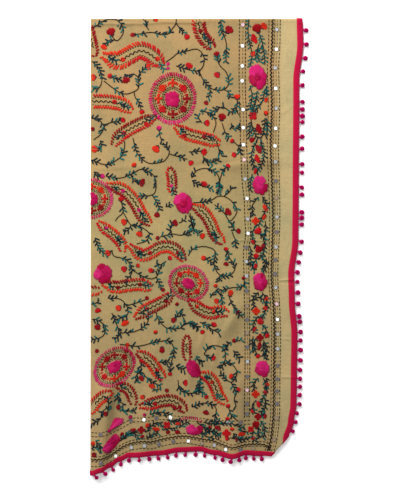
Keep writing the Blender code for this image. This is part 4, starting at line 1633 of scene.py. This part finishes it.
# Buds in the field: centre, half width, half height, thread
BUDS = (
    (19, 12, 4.2, 4.6, "crimson"), (12, 27, 3, 3, "orange"), (41, 15, 3, 1.9, "crimson"),
    (95, 17, 2, 3.5, "red"), (64, 0.5, 2.4, 1.6, "orange"), (76, 44, 1.8, 1.6, "pink"),
    (76, 48.5, 1.8, 1.5, "pink"), (97, 46, 3.5, 3.5, "red"), (124.5, 34, 2.8, 2.8, "crimson"),
    (125, 55, 3, 3, "red"), (114, 83, 2.2, 2.2, "crimson"), (1.5, 57.5, 2.8, 3.2, "orange"),
    (56, 47, 2.8, 2.8, "orange"), (34, 60, 3.7, 4, "crimson"), (18, 56, 3, 1.8, "red"),
    (50, 92, 2.4, 2.6, "red"), (31, 100, 2.8, 2.4, "red"), (0.5, 109, 1.8, 2.4, "crimson"),
    (67, 108, 2.4, 2.8, "pink"), (137, 10, 3.8, 4.6, "crimson"), (145, 77, 3, 3, "orange"),
    (130, 97, 3.6, 4.2, "crimson"), (115, 103, 3, 3, "red"), (3, 129, 4.5, 3.4, "orange"),
    (42, 145, 2.5, 2.5, "orange"), (64, 129, 3.8, 4, "orange"), (99, 143, 2.8, 2.4, "red"),
    (10.5, 156, 2.4, 2.6, "pink"), (50, 162.5, 3.2, 4, "crimson"), (65, 195, 2.8, 2.8, "crimson"),
    (29, 179, 2.6, 2.8, "red"), (32, 202, 3.2, 3.2, "orange"), (47.5, 214, 3.2, 3.2, "orange"),
    (65.5, 218, 2, 2, "crimson"), (83, 203, 3.2, 3.2, "crimson"), (16, 233, 3, 3, "orange"),
    (112, 132, 3.2, 3.3, "red"), (142, 135, 2.6, 2.6, "red"), (140, 121, 2.2, 2.2, "red"),
    (136, 146, 2.2, 2.2, "red"), (112, 164, 3.2, 3, "red"), (136, 192, 3.2, 4, "crimson"),
    (110.5, 216, 2.8, 2.8, "orange"), (146.5, 211, 2.4, 2.6, "crimson"), (134, 229, 2.2, 2.2, "red"),
    (111.5, 238, 3, 2.1, "orange"), (134, 244, 2.5, 2.1, "crimson"), (123.5, 265.5, 2, 2, "orange"),
    (32, 249, 3, 3, "red"), (46, 245.5, 2, 2, "orange"), (59, 250.5, 3.4, 2.1, "red"),
    (78, 238, 2.2, 2.2, "red"), (71, 270, 2, 2, "crimson"), (26.5, 288, 3.2, 2.8, "orange"),
    (55, 278, 2.2, 1.6, "crimson"), (33, 303, 4, 3, "orange"), (6, 290.5, 3, 2.5, "red"),
    (5.5, 307, 2.8, 3.5, "crimson"), (63.5, 312, 2, 2, "orange"), (81.5, 300, 3.4, 2.1, "crimson"),
    (85, 284, 1.9, 1.8, "crimson"), (35.5, 325, 2.2, 2.2, "orange"), (70, 330, 2.5, 3.5, "crimson"),
    (5, 331, 2, 2, "crimson"), (34, 331, 2, 1.8, "crimson"), (151.5, 258, 1.8, 1.8, "crimson"),
    (138.5, 273, 2.3, 4, "orange"), (145.5, 292, 2, 2, "crimson"), (124.5, 281, 2.3, 2.8, "orange"),
    (110.5, 312, 2.2, 2.2, "red"), (122, 304.5, 3, 2.3, "red"), (142, 320.5, 2.4, 1.9, "crimson"),
    (121.5, 338, 2.5, 2.5, "red"), (139, 356, 2.5, 2.5, "orange"), (60, 366, 3.5, 2.3, "orange"),
    (49.5, 358, 2.8, 3, "crimson"), (49.5, 341, 2.2, 2.2, "red"), (78, 354, 2.1, 2.1, "red"),
    (93.5, 362.5, 2.5, 3, "red"), (75, 370.5, 2.3, 1.6, "crimson"), (50.5, 377, 2.6, 2, "orange"),
    (26.5, 387, 2.5, 2.5, "crimson"), (14, 393, 2.5, 2.4, "crimson"), (82.5, 388.5, 1.8, 1.6, "crimson"),
    (52.5, 394.5, 1.7, 1.6, "magenta"), (38.5, 397, 2, 1.9, "magenta"), (114.5, 377, 2.1, 2.1, "red"),
    (146.5, 369, 2.3, 1.9, "red"), (114, 392.5, 3.2, 2.3, "crimson"), (136, 385.5, 2.2, 2.2, "red"),
    (135.5, 398.5, 2.1, 2.1, "red"),
)

# Flowers inside the curled leaves: centre, radius, thread
LEAF_FLOWERS = (
    (31, 39.7, 2.7, "orange"), (65.5, 39, 2.7, "orange"), (22.5, 82, 2.5, "red"), (54, 104, 2.3, "red"),
    (32, 113, 2.5, "red"), (92, 116, 2.6, "crimson"), (112, 116.5, 2.4, "crimson"),
    (108.5, 11, 2.4, "crimson"), (79.5, 166, 1.9, "pink"), (31, 171, 2.3, "pink"), (47, 190, 2.2, "pink"),
    (14, 208, 2.2, "pink"), (58, 233, 2.3, "red"), (86, 232.5, 2.2, "crimson"), (26, 267.5, 2.2, "crimson"),
    (48, 264.5, 2.2, "crimson"), (55, 289, 2.1, "crimson"), (74, 281, 2.1, "crimson"),
    (105, 286.5, 2.2, "orange"), (122, 291.5, 2.1, "orange"), (65, 350, 2.1, "red"),
    (63, 383.5, 2.2, "red"), (88, 387, 2.1, "crimson"), (120, 362, 1.9, "orange"),
)

# The side's border between its two rows of mirrors. Ovals: centre, half width, half height, thread
BORDER_BUDS = (
    (165, 8.5, 4.0, 5.0, "crimson"), (171.8, 6.5, 3.0, 3.4, "orange"), (162, 19, 2.6, 4.8, "red"),
    (161, 34, 2.4, 2.5, "orange"), (174, 80, 2, 2.2, "orange"), (174, 93, 2, 2.5, "orange"),
    (166.5, 109, 2.9, 4.8, "crimson"), (160, 120, 2.4, 2.5, "crimson"), (167, 129, 2.9, 4.5, "crimson"),
    (165, 139, 2.4, 4.2, "red"), (163.5, 151, 2, 2.8, "red"), (173.5, 188, 1.8, 3.8, "orange"),
    (166, 211, 2.4, 4.3, "red"), (172, 197, 1.8, 2.8, "orange"), (161, 222, 2, 2, "red"),
    (166.5, 229, 2.9, 4.4, "crimson"), (171.3, 226, 2.2, 2.3, "crimson"), (164, 236, 2.2, 3.1, "red"),
    (163.5, 246, 2.1, 2.2, "red"), (174.5, 278.5, 1.9, 2.2, "orange"), (173.5, 288, 2, 2.5, "orange"),
    (168.5, 301, 2.9, 3.9, "red"), (162.5, 309, 2.2, 2.3, "red"), (175, 315.5, 1.7, 2.8, "red"),
    (167.5, 326, 2.3, 3.9, "crimson"), (166, 336, 2.1, 2.2, "red"), (175, 364.5, 2, 2.1, "orange"),
    (173.5, 372, 2.4, 1.6, "red"), (166.5, 384, 2.3, 3.1, "red"), (160.5, 391, 2.1, 1.6, "red"),
    (173, 396, 2, 2, "crimson"), (164, 404.5, 3, 4.3, "crimson"), (161, 418, 2, 1.7, "red"),
    (1.5, 423, 1.9, 2.4, "orange"), (2.5, 434, 2.4, 2.1, "crimson"), (30, 414, 2, 1.6, "crimson"),
    (41, 410, 3, 2, "crimson"), (50.5, 416, 1.8, 1.6, "crimson"), (55.5, 405, 2.2, 2.1, "orange"),
    (64, 409, 3.4, 2.2, "orange"), (76, 412, 2, 1.8, "crimson"), (86, 403.5, 2.3, 1.8, "orange"),
    (85.5, 412, 2.2, 2.1, "crimson"), (117.5, 407, 1.7, 1.6, "crimson"), (126, 408, 3.1, 2.2, "crimson"),
    (140, 408.5, 2, 1.6, "orange"), (149.5, 413.5, 3.2, 2.3, "orange"), (135, 418.5, 2.2, 1.4, "red"),
    (144.5, 418.5, 1.8, 1.5, "orange"),
)

# Flowers of four petals in the borders: centre, radius, thread
BORDER_FLOWERS = (
    (161, 96, 4.5, "red"), (163.5, 201, 4.2, "orange"), (164, 291, 4.2, "orange"),
    (168, 317.5, 4, "crimson"), (163.5, 374, 4.2, "orange"), (166, 396.5, 3.8, "crimson"),
    (49.5, 409.5, 4, "crimson"), (75, 405, 4.1, "red"), (134.5, 413, 4.5, "red"), (158.8, 409, 3.4, "red"),
)

# Vines of the borders, as the field's
BORDER_VINES = vines_of("""
166,12 170,22 172,33 173,46 | 170,22 172,36
157,-2 156,12 158,25 160,34 158,46 | 157,2 157,20 159,40
165,71 163,85 158,92 | 164,76 161,88
173,69 170,82 164,90 | 172,75 167,86
159,100 161,110 166,119 | 160,106 164,116
173,98 172,110 168,121 | 173,104 170,116
168,122 172,132 170,143 164,153 | 171,129 171,139 167,149
165,121 160,131 160,142 163,149 | 162,127 159,136 161,145
166,177 160,186 161,196 | 163,181 160,190
170,177 175,186 170,197 166,207 | 173,181 173,190 168,201
163,206 160,216 164,226 | 160,213 162,221
168,214 173,221 171,234 165,241 | 172,219 172,232
164,240 160,246 163,252 | 161,246
170,236 173,244 170,251 | 172,243
166,272 161,279 162,288 | 163,275 161,284
170,272 175,282 172,294 169,299 | 173,276 174,292
166,296 161,304 163,313 | 163,301 162,313
170,305 174,310 171,316 | 173,309
164,318 161,325 165,334 | 161,323 163,330
171,320 175,328 172,338 | 174,325 174,334
166,358 161,364 163,371 | 163,361
171,358 175,368 171,378 168,384 | 174,367 171,378
164,380 160,386 163,394 | 161,386
169,388 173,391 170,396 | 172,391
168,401 173,408 171,418 | 171,405 173,413
162,411 160,416 163,421 | 161,415
-2,428 6,426 10,430 | 5,427
30,420 36,414 44,414 48,420 | 34,416 44,415
54,412 60,405 66,402 72,408 | 59,406 68,404
88,407 93,403 97,402 | 91,404
110,414 117,411 124,412 129,415 | 114,412 124,413
113,403 118,403 124,405 | 118,403
141,413 145,418 152,419 | 145,417
143,404 148,407 154,408 | 148,406
171,26 165,32 163,41 | 167,33
160,154 158.5,163 158.5,172 | 159,163
173,201 174,210 171,220 | 173,210
158,226 159,236 158,248 | 159,236
174,238 174,246 171,252 | 173,245
161,280 167,277 172,281 174,288 | 167,278
161,316 160,324 161,333 | 160,324
172,322 171,330 175,341 | 172,331
174,358 175,364 172,371 | 174,364
172,378 174,385 168,394 | 172,386
166,408 167,414 166,420 | 167,414
138,417 148,419 158,418 | 148,418
114,409 120,412 128,418 | 121,413
28,421 35,415 42,412 49,413 | 37,415
55,418 61,414 68,413 | 61,415
71,410 79,408 87,408 | 79,408
76,400 82,402 89,400 | 82,401
105,402 110,406 117,409 | 111,406
4,420 9,425 8,432 | 8,426
74,187 80,184 | 78,185
87,203 94,199 | 91,201
158,66 160,75 159,84 157,90 | 159,72 158.5,85
174,66 175,76 | 174.5,71
166,88 161,92 158,98 | 161,92
174,98 175.5,108 173,118 | 175,108
159,104 157,112 158,118 | 157,111
167,24 165,33 168,43 | 166,34
108,413 114,416 121,418 | 114,416
128,404 134,403 141,403 | 134,403
146,409 152,411 158,412 | 152,411
119,402 128,401 | 124,401
""")

# Rows of mirrors: where the row lies across the cloth at places down it, and down the cloth at places
# across it
INNER_ROW = (
    (-4, 150.8), (60, 150.2), (100, 151.3), (125, 151.6), (160, 153), (180, 155), (200, 155.6),
    (215, 156.2), (230, 154.2), (260, 154.5), (300, 155), (340, 155.4), (396, 154.7),
)
OUTER_ROW = (
    (-4, 185), (30, 184.3), (48, 183.3), (88, 184.2), (126, 183), (160, 184), (200, 184.8), (254, 183),
    (284, 184.8), (314, 185.8), (345, 185.4), (384, 185), (398, 184.5), (420, 182), (431, 179),
)
HEM_INNER_ROW = (
    (-4, 414), (10, 413.5), (24, 409), (40, 400.5), (50, 399.5), (63, 398), (78, 397.5), (110, 400),
    (122, 402), (148, 402.3), (156, 402),
)
HEM_OUTER_ROW = (
    (-4, 439), (10, 438), (20, 434), (30, 427), (40, 423), (50, 421), (60, 421.5), (75, 418), (90, 416),
    (100, 417), (110, 419), (120, 420.5), (130, 424), (140, 427), (150, 425), (160, 424), (172, 424.5),
    (179, 428),
)

# Mirrors on the rows: place along the row, and the painted reflection it shows
INNER_MIRRORS = (
    (5, "rosy"), (26, "white"), (46, "white"), (61, "white"), (89.6, "white"), (107.8, "white"),
    (124.8, "white"), (140, "rosy"), (159, "grey"), (178.5, "white"), (199, "grey"), (213.4, "white"),
    (227.5, "dark"), (241.5, "grey"), (256, "grey"), (271, "dark"), (286, "brown"), (299.6, "dark"),
    (313, "brown"), (327, "dark"), (341.5, "grey"), (356.5, "dark"), (370, "rosy"), (384, "dark"),
    (394, "dark"),
)
OUTER_MIRRORS = (
    (9.8, "grey"), (29.4, "white"), (48, "grey"), (68.5, "white"), (88.4, "grey"), (108.5, "white"),
    (126, "white"), (142, "grey"), (161, "dark"), (178, "brown"), (197, "grey"), (212, "dark"),
    (227, "grey"), (240, "dark"), (254, "dark"), (267.5, "grey"), (284, "rosy"), (299.4, "white"),
    (314, "grey"), (328.8, "grey"), (345.5, "dark"), (359, "dark"), (371, "dark"), (383.5, "dark"),
    (398, "brown"), (419, "brown"),
)
HEM_INNER_MIRRORS = (
    (9, "dark"), (39, "dark"), (52, "white"), (64.5, "dark"), (78.5, "white"), (136, "grey"),
    (148.5, "dark"),
)
HEM_OUTER_MIRRORS = (
    (9.5, "dark"), (23.8, "white"), (39.4, "grey"), (52.5, "grey"), (67, "dark"), (81.4, "dark"),
    (96.4, "white"), (110, "brown"), (122.3, "grey"), (133.7, "white"), (148.5, "dark"), (161, "brown"),
)
HEM_MIRROR_DROP = 4.2
ROW_NARROWS = 0.22

# Stitched lines beside the rows: how far from the row, how far a zigzag swings, with none for dashes, and
# width
INNER_LINES = ((-3.2, 0, 1.1), (0.3, 0, 0.6), (3.0, 0, 1.1))
OUTER_LINES = ((-8.0, 0, 0.95), (-4.5, 1.0, 1.45), (-2.2, 0, 0.8), (0.6, 0, 0.5), (3.3, 0, 0.95))
HEM_INNER_LINES = ((-1.9, 0, 0.85), (1.9, 0, 0.85))
HEM_OUTER_LINES = ((-2.8, 0, 0.9), (0.0, 0.7, 1.3), (2.0, 0, 0.85), (6.8, 0, 0.85))
ZIGZAG_PITCH = 3.8


# Embroidered pieces


def row_down(row, offset=0.0):
    """Points of a side border's line beside a row; the lines draw nearer to the row down the cloth."""
    return [(across + offset * (1 - ROW_NARROWS * smooth((down - 100) / 200)), down) for down, across in row]


def row_across(row, offset=0.0):
    """Points of a hem border's line: a row's places across the cloth, moved down by an offset."""
    return [(across, down + offset) for across, down in row]


def mirror_places():
    """Every mirror's place on the chart and what it shows."""
    for row, mirrors in ((INNER_ROW, INNER_MIRRORS), (OUTER_ROW, OUTER_MIRRORS)):
        for down, shade in mirrors:
            yield along_table(row, down), down, shade
    for row, mirrors, drop in (
        (HEM_INNER_ROW, HEM_INNER_MIRRORS, 0.0),
        (HEM_OUTER_ROW, HEM_OUTER_MIRRORS, HEM_MIRROR_DROP),
    ):
        for across, shade in mirrors:
            yield across, along_table(row, across) + drop, shade


def finish_embroidery(sewing, name, sizes, threads):
    """Sews the gathered stitches as one piece that lies on the cloth."""
    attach(sewing.sew(name, sizes, threads), "root")


def make_stems(sizes, threads):
    """Every vine's stem."""
    sewing = Sewing(1)
    for path, _ in (*VINES, *BORDER_VINES):
        add_stem(sewing, path)
    finish_embroidery(sewing, "stems", sizes, threads)


def make_vine_leaves(sizes, threads):
    """The small leaves along the vines and inside the curled leaves."""
    sewing = Sewing(2)
    for path, leafy in VINES:
        add_leaves_on(sewing, path, leafy)
    for path, leafy in BORDER_VINES:
        add_leaves_on(sewing, path, leafy, 8.0, BORDER_LEAF)
    for start, end in SPRIGS:
        add_leaves_on(sewing, (start, end), (start, end), reach=LEAF_PITCH * 4)
        add_stem(sewing, (start, end), "teal")
    finish_embroidery(sewing, "vine_leaves", sizes, threads)


def add_bud(sewing, centre, half_u, half_v, toward, thread):
    """A bud filled along its length, narrow at its foot and lobed at its far end, with two sepals."""
    out = turned(-toward, sewing.chance.uniform(-14, 14))
    side = Vector((-out.y, out.x))
    tall = math.hypot(out.x * half_u, out.y * half_v) * 1.06
    wide = math.hypot(side.x * half_u, side.y * half_v) * 1.04
    count = max(4, round(2 * wide / FILL_PITCH))
    for index in range(count):
        across = 2 * (index + 0.5) / count - 1
        foot = -tall * (1 - 0.85 * abs(across))
        tip = tall * (1.02 - 0.50 * abs(across) ** 1.4 - 0.16 * abs(math.sin(1.5 * math.pi * across)))
        tip += sewing.chance.uniform(-0.25, 0.25)
        beside = centre + side * across * wide
        sewing.add(beside + out * foot, beside + out * tip, FILL_PITCH * 1.45, thread, 1.0 + 0.12 * across)
    for hand in (1, -1):
        base = centre - out * tall * 1.05 + side * hand * 0.3
        add_leaf(sewing, base, turned(out, hand * -52), min(wide * 1.3, 3.4), 1.3, "teal")


def nearest_stem(spots, centre):
    """The way from a bud to the nearest place of a stem, apart from one at the bud's own middle."""
    others = [spot for spot in spots if (spot - centre).length > 1]
    near = min(others, key=lambda spot: (spot - centre).length)
    return (near - centre).normalized()


def make_buds(sizes, threads):
    """Buds and small flowers, each bud with its foot towards its stem."""
    sewing = Sewing(3)
    spots = [spot for path, _ in (*VINES, *BORDER_VINES) for spot, _ in curve_through(path, 2.0)]
    border_buds = [
        (u, v, half_u * BORDER_BUD, half_v * BORDER_BUD, thread)
        for u, v, half_u, half_v, thread in BORDER_BUDS
    ]
    for u, v, half_u, half_v, thread in (*BUDS, *border_buds):
        centre = Vector((u, v))
        toward = nearest_stem(spots, centre)
        add_bud(sewing, centre, half_u, half_v, toward, thread)
    for u, v, radius, thread in LEAF_FLOWERS:
        add_oval(sewing, (u, v), radius, radius * 0.92, 90, thread)
    for u, v, radius, thread in BORDER_FLOWERS:
        add_petals(sewing, (u, v), radius, thread, 4, 45 * (round(u) % 2))
        add_oval(sewing, (u, v), radius * 0.4, radius * 0.4, 20, thread)
    finish_embroidery(sewing, "buds", sizes, threads)


def make_plumes(sizes, threads):
    """The curled leaves."""
    sewing = Sewing(4)
    for spine, inner, outer, first, second in PLUMES:
        add_plume(sewing, spine, inner, outer, first, second)
    finish_embroidery(sewing, "curled_leaves", sizes, threads)


def make_big_flowers(sizes, threads):
    """The satin flowers of the field and the borders."""
    sewing = Sewing(5)
    for centre, half_u, half_v, tilt, *parts, rosette, reach in BIG_FLOWERS:
        # Lobes in deep pink are painted shade and lobes in pink painted sheen, darker and lighter copies of
        # the magenta
        lobes = [(*lobe, thread) for thread, part in zip(("wine", "magenta", "pink"), parts) for lobe in part]
        add_satin_flower(sewing, centre, half_u, half_v, tilt, [*lobes, (0, 180, reach, rosette)])
    finish_embroidery(sewing, "satin_flowers", sizes, threads)


def make_medallions(sizes, threads):
    """The medallions, and the arc of one more above the hem's border."""
    sewing = Sewing(6)
    for centre, half_long, half_wide, tilt, warm, light in MEDALLIONS:
        add_medallion(sewing, Ring(centre, half_long, half_wide, tilt), warm, light)
    centre, radius, first, last = RIM_ARC
    rim = Ring(centre, radius, radius, 0)
    for step in range(RIM_ARC_STROKES):
        angle = first + (last - first) * step / (RIM_ARC_STROKES - 1)
        add_stroke(sewing, rim.at(0.84, angle), rim.at(1.0, angle - 3), 1.3, "magenta")
    finish_embroidery(sewing, "medallions", sizes, threads)


def make_border_lines(sizes, threads):
    """The dashed and zigzag lines beside the rows of mirrors."""
    sewing = Sewing(7)
    for row, lines, points_of in (
        (INNER_ROW, INNER_LINES, row_down),
        (OUTER_ROW, OUTER_LINES, row_down),
        (HEM_INNER_ROW, HEM_INNER_LINES, row_across),
        (HEM_OUTER_ROW, HEM_OUTER_LINES, row_across),
    ):
        for offset, swing, width in lines:
            if swing:
                add_zigzag(sewing, points_of(row, offset), swing, ZIGZAG_PITCH, width)
            else:
                add_dashes(sewing, points_of(row, offset), width)
    finish_embroidery(sewing, "border_lines", sizes, threads)


# What a user would change


def length(name, description, value):
    """A length in metres."""
    return FloatProperty(
        name=name, description=description, default=value, min=0.0001, precision=4, unit="LENGTH"
    )


def colour(name, description, value):
    """A colour as the share of light given back."""
    return FloatVectorProperty(
        name=name, description=description, default=value, size=3, min=0.0, max=1.0, subtype="COLOR"
    )


class ShawlSizes(bpy.types.PropertyGroup):
    """Sizes of the finish that leave the cloth's own size alone."""

    cloth_step: length("Cloth step", "Distance between the mesh lines of the visible cloth", 0.0044)
    pompom_radius: length("Pompom radius", "Half the width of a wool pompom", 0.0068)
    mirror_width: length("Mirror width", "Width of one small mirror", 0.0095)
    thread_scale: FloatProperty(
        name="Thread scale", description="Makes every stitch wider or narrower", default=1.0, min=0.3, max=2.0
    )


class ClothColours(bpy.types.PropertyGroup):
    """Colours of the cloth, the tapes and the trim."""

    cotton: colour("Cotton", "Unbleached slub cotton of the face", (0.262, 0.200, 0.096))
    inner: colour("Inner cotton", "The hidden layers where they show at the folds", (0.250, 0.189, 0.091))
    tape: colour("Tape", "Edging tape", (0.268, 0.003, 0.025))
    cord: colour("Trim cord", "Braid and stems of the trim", (0.285, 0.002, 0.070))
    wool: colour("Pompoms", "Wool of the pompoms", (0.360, 0.003, 0.084))


class ThreadColours(bpy.types.PropertyGroup):
    """Colours of the embroidery floss."""

    stem: colour("Stem", "Dark brown of the stems", (0.010, 0.006, 0.004))
    teal: colour("Leaf", "Dark teal of most leaves", (0.002, 0.014, 0.019))
    bright: colour("Bright leaf", "Bright teal of some leaves", (0.003, 0.070, 0.063))
    orange: colour("Orange", "Orange red floss", (0.345, 0.013, 0.004))
    red: colour("Red", "Red floss", (0.275, 0.004, 0.006))
    crimson: colour("Crimson", "Crimson floss", (0.150, 0.002, 0.004))
    # Pink also serves as painted sheen and the deep pink floss as painted shade: lighter and darker copies of
    # the magenta for the lobes of satin flowers and the sides of medallion rims
    pink: colour("Pink", "Light pink floss", (0.325, 0.008, 0.080))
    magenta: colour("Magenta", "Magenta floss", (0.260, 0.003, 0.046))
    wine: colour("Wine", "Deep pink floss", (0.212, 0.001, 0.026))
    black: colour("Line", "Dark thread of the dashed lines", (0.006, 0.004, 0.003))
    frame: colour("Mirror frame", "Thread round the mirrors", (0.160, 0.130, 0.085))


# Operators


class ShawlOperator:
    """What every operator of the shawl shares."""

    bl_options = {"REGISTER", "UNDO"}

    def execute(self, context):
        """Builds the operator's own pieces."""
        scene = context.scene
        self.build(scene.shawl_sizes, scene.shawl_cloth_colours, scene.shawl_thread_colours)
        return {"FINISHED"}


class SHAWL_OT_cloth(ShawlOperator, bpy.types.Operator):
    """Lay the showing quarter of the cloth"""

    bl_idname = "shawl.cloth"
    bl_label = "Cloth"

    def build(self, sizes, colours, threads):
        """The cloth as a thin shell."""
        make_cloth(sizes, colours)


class SHAWL_OT_layers(ShawlOperator, bpy.types.Operator):
    """Stack the hidden layers under the cloth"""

    bl_idname = "shawl.layers"
    bl_label = "Hidden layers"

    def build(self, sizes, colours, threads):
        """The stack of three layers."""
        make_layers(colours)


class SHAWL_OT_tapes(ShawlOperator, bpy.types.Operator):
    """Sew the tapes on the side and the hem"""

    bl_idname = "shawl.tapes"
    bl_label = "Edging tapes"

    def build(self, sizes, colours, threads):
        """Both tapes."""
        make_tapes(sizes, colours)


class SHAWL_OT_trims(ShawlOperator, bpy.types.Operator):
    """Hang the pompoms on the side and the hem"""

    bl_idname = "shawl.trims"
    bl_label = "Pompom trims"

    def build(self, sizes, colours, threads):
        """Both trims; they and the tapes are gathered in a list that nothing uses."""
        pieces = list(make_trim("side_trim", "side_pompoms", True, SIDE_POMPOMS, SIDE_TRIM, sizes, colours))
        pieces += make_trim("hem_trim", "hem_pompoms", False, HEM_POMPOMS, HEM_TRIM, sizes, colours)
        pieces += [bpy.data.objects["side_tape"], bpy.data.objects["hem_tape"]]


class SHAWL_OT_vines(ShawlOperator, bpy.types.Operator):
    """Embroider the vines, their leaves and their buds"""

    bl_idname = "shawl.vines"
    bl_label = "Vines and buds"

    def build(self, sizes, colours, threads):
        """Stems, leaves and buds."""
        make_stems(sizes, threads)
        make_vine_leaves(sizes, threads)
        make_buds(sizes, threads)


class SHAWL_OT_plumes(ShawlOperator, bpy.types.Operator):
    """Embroider the curled leaves"""

    bl_idname = "shawl.plumes"
    bl_label = "Curled leaves"

    def build(self, sizes, colours, threads):
        """The curled leaves."""
        make_plumes(sizes, threads)


class SHAWL_OT_flowers(ShawlOperator, bpy.types.Operator):
    """Embroider the satin flowers and the medallions"""

    bl_idname = "shawl.flowers"
    bl_label = "Flowers and medallions"

    def build(self, sizes, colours, threads):
        """Satin flowers and medallions."""
        make_big_flowers(sizes, threads)
        make_medallions(sizes, threads)


class SHAWL_OT_borders(ShawlOperator, bpy.types.Operator):
    """Stitch the border lines and set the mirrors"""

    bl_idname = "shawl.borders"
    bl_label = "Border lines and mirrors"

    def build(self, sizes, colours, threads):
        """Dashed lines, zigzags and mirrors."""
        make_border_lines(sizes, threads)
        make_mirrors(sizes, colours, threads)


class SHAWL_OT_stage(ShawlOperator, bpy.types.Operator):
    """Set up the white floor, the lights and the camera"""

    bl_idname = "shawl.stage"
    bl_label = "Stage"

    def build(self, sizes, colours, threads):
        """Floor, light and camera."""
        make_stage()


OPERATORS = (
    SHAWL_OT_cloth,
    SHAWL_OT_layers,
    SHAWL_OT_tapes,
    SHAWL_OT_trims,
    SHAWL_OT_vines,
    SHAWL_OT_plumes,
    SHAWL_OT_flowers,
    SHAWL_OT_borders,
    SHAWL_OT_stage,
)


class SHAWL_PT_panel(bpy.types.Panel):
    """Lists the shawl's sizes, colours and steps"""

    bl_idname = "SHAWL_PT_panel"
    bl_label = "Phulkari shawl"
    bl_space_type = "VIEW_3D"
    bl_region_type = "UI"
    bl_category = "Shawl"

    def draw(self, context):
        """Properties first, then one button for each step."""
        layout = self.layout
        scene = context.scene
        for group in (scene.shawl_sizes, scene.shawl_cloth_colours, scene.shawl_thread_colours):
            box = layout.box()
            for key in group.__annotations__:
                box.prop(group, key)
        for operator in OPERATORS:
            layout.operator(operator.bl_idname)


CLASSES = (ShawlSizes, ClothColours, ThreadColours, *OPERATORS, SHAWL_PT_panel)


# Stage


def aimed(made, target):
    """Turns a light or camera so that it looks at a point."""
    made.rotation_euler = (Vector(target) - made.location).to_track_quat("-Z", "Y").to_euler()


def add_light(name, spot, target, size, watts):
    """A soft square light."""
    data = bpy.data.lights.new(name, "AREA")
    data.size = size
    data.energy = watts
    made = add_object(name, data)
    made.location = spot
    aimed(made, target)
    return made


def make_stage():
    """A white floor, soft light that is stronger towards the top fold, and a camera straight above."""
    scene = bpy.context.scene
    mesh = bmesh.new()
    bmesh.ops.create_grid(mesh, x_segments=8, y_segments=8, size=FLOOR_SIZE / 2)
    floor = finish_mesh("floor", mesh, [floor_material("White floor")], soft=False)
    centre = Vector((CORNER_X + FRAME_CENTRE[0] * SQUARE, CORNER_Y - FRAME_CENTRE[1] * SQUARE, 0.008))
    world = bpy.data.worlds.new("Soft white room")
    world.use_nodes = True
    world.node_tree.nodes["Background"].inputs["Color"].default_value = (1.0, 1.0, 1.0, 1.0)
    world.node_tree.nodes["Background"].inputs["Strength"].default_value = ROOM_LIGHT
    scene.world = world
    add_light("top_light", centre + Vector((-0.8, 1.5, 1.3)), centre, 2.2, TOP_WATTS)
    camera = add_object("camera", bpy.data.cameras.new("camera"))
    camera.data.lens = LENS
    camera.data.sensor_fit = "VERTICAL"
    camera.data.sensor_height = SENSOR
    height = FRAME_HEIGHT * LENS / SENSOR
    camera.location = centre + Vector((0, 0, height))
    camera.data.clip_end = 50
    scene.camera = camera
    scene.view_settings.view_transform = "Standard"
    scene.view_settings.look = "None"


def register():
    """Adds the classes and their places on the scene."""
    for each in CLASSES:
        bpy.utils.register_class(each)
    bpy.types.Scene.shawl_sizes = PointerProperty(type=ShawlSizes)
    bpy.types.Scene.shawl_cloth_colours = PointerProperty(type=ClothColours)
    bpy.types.Scene.shawl_thread_colours = PointerProperty(type=ThreadColours)


def unregister():
    """Takes the classes out again."""
    for key in ("shawl_sizes", "shawl_cloth_colours", "shawl_thread_colours"):
        delattr(bpy.types.Scene, key)
    for each in reversed(CLASSES):
        bpy.utils.unregister_class(each)


def main():
    """Builds everything in order."""
    register()
    for operator in OPERATORS:
        group, name = operator.bl_idname.split(".")
        getattr(getattr(bpy.ops, group), name)()


if __name__ == "__main__":
    main()
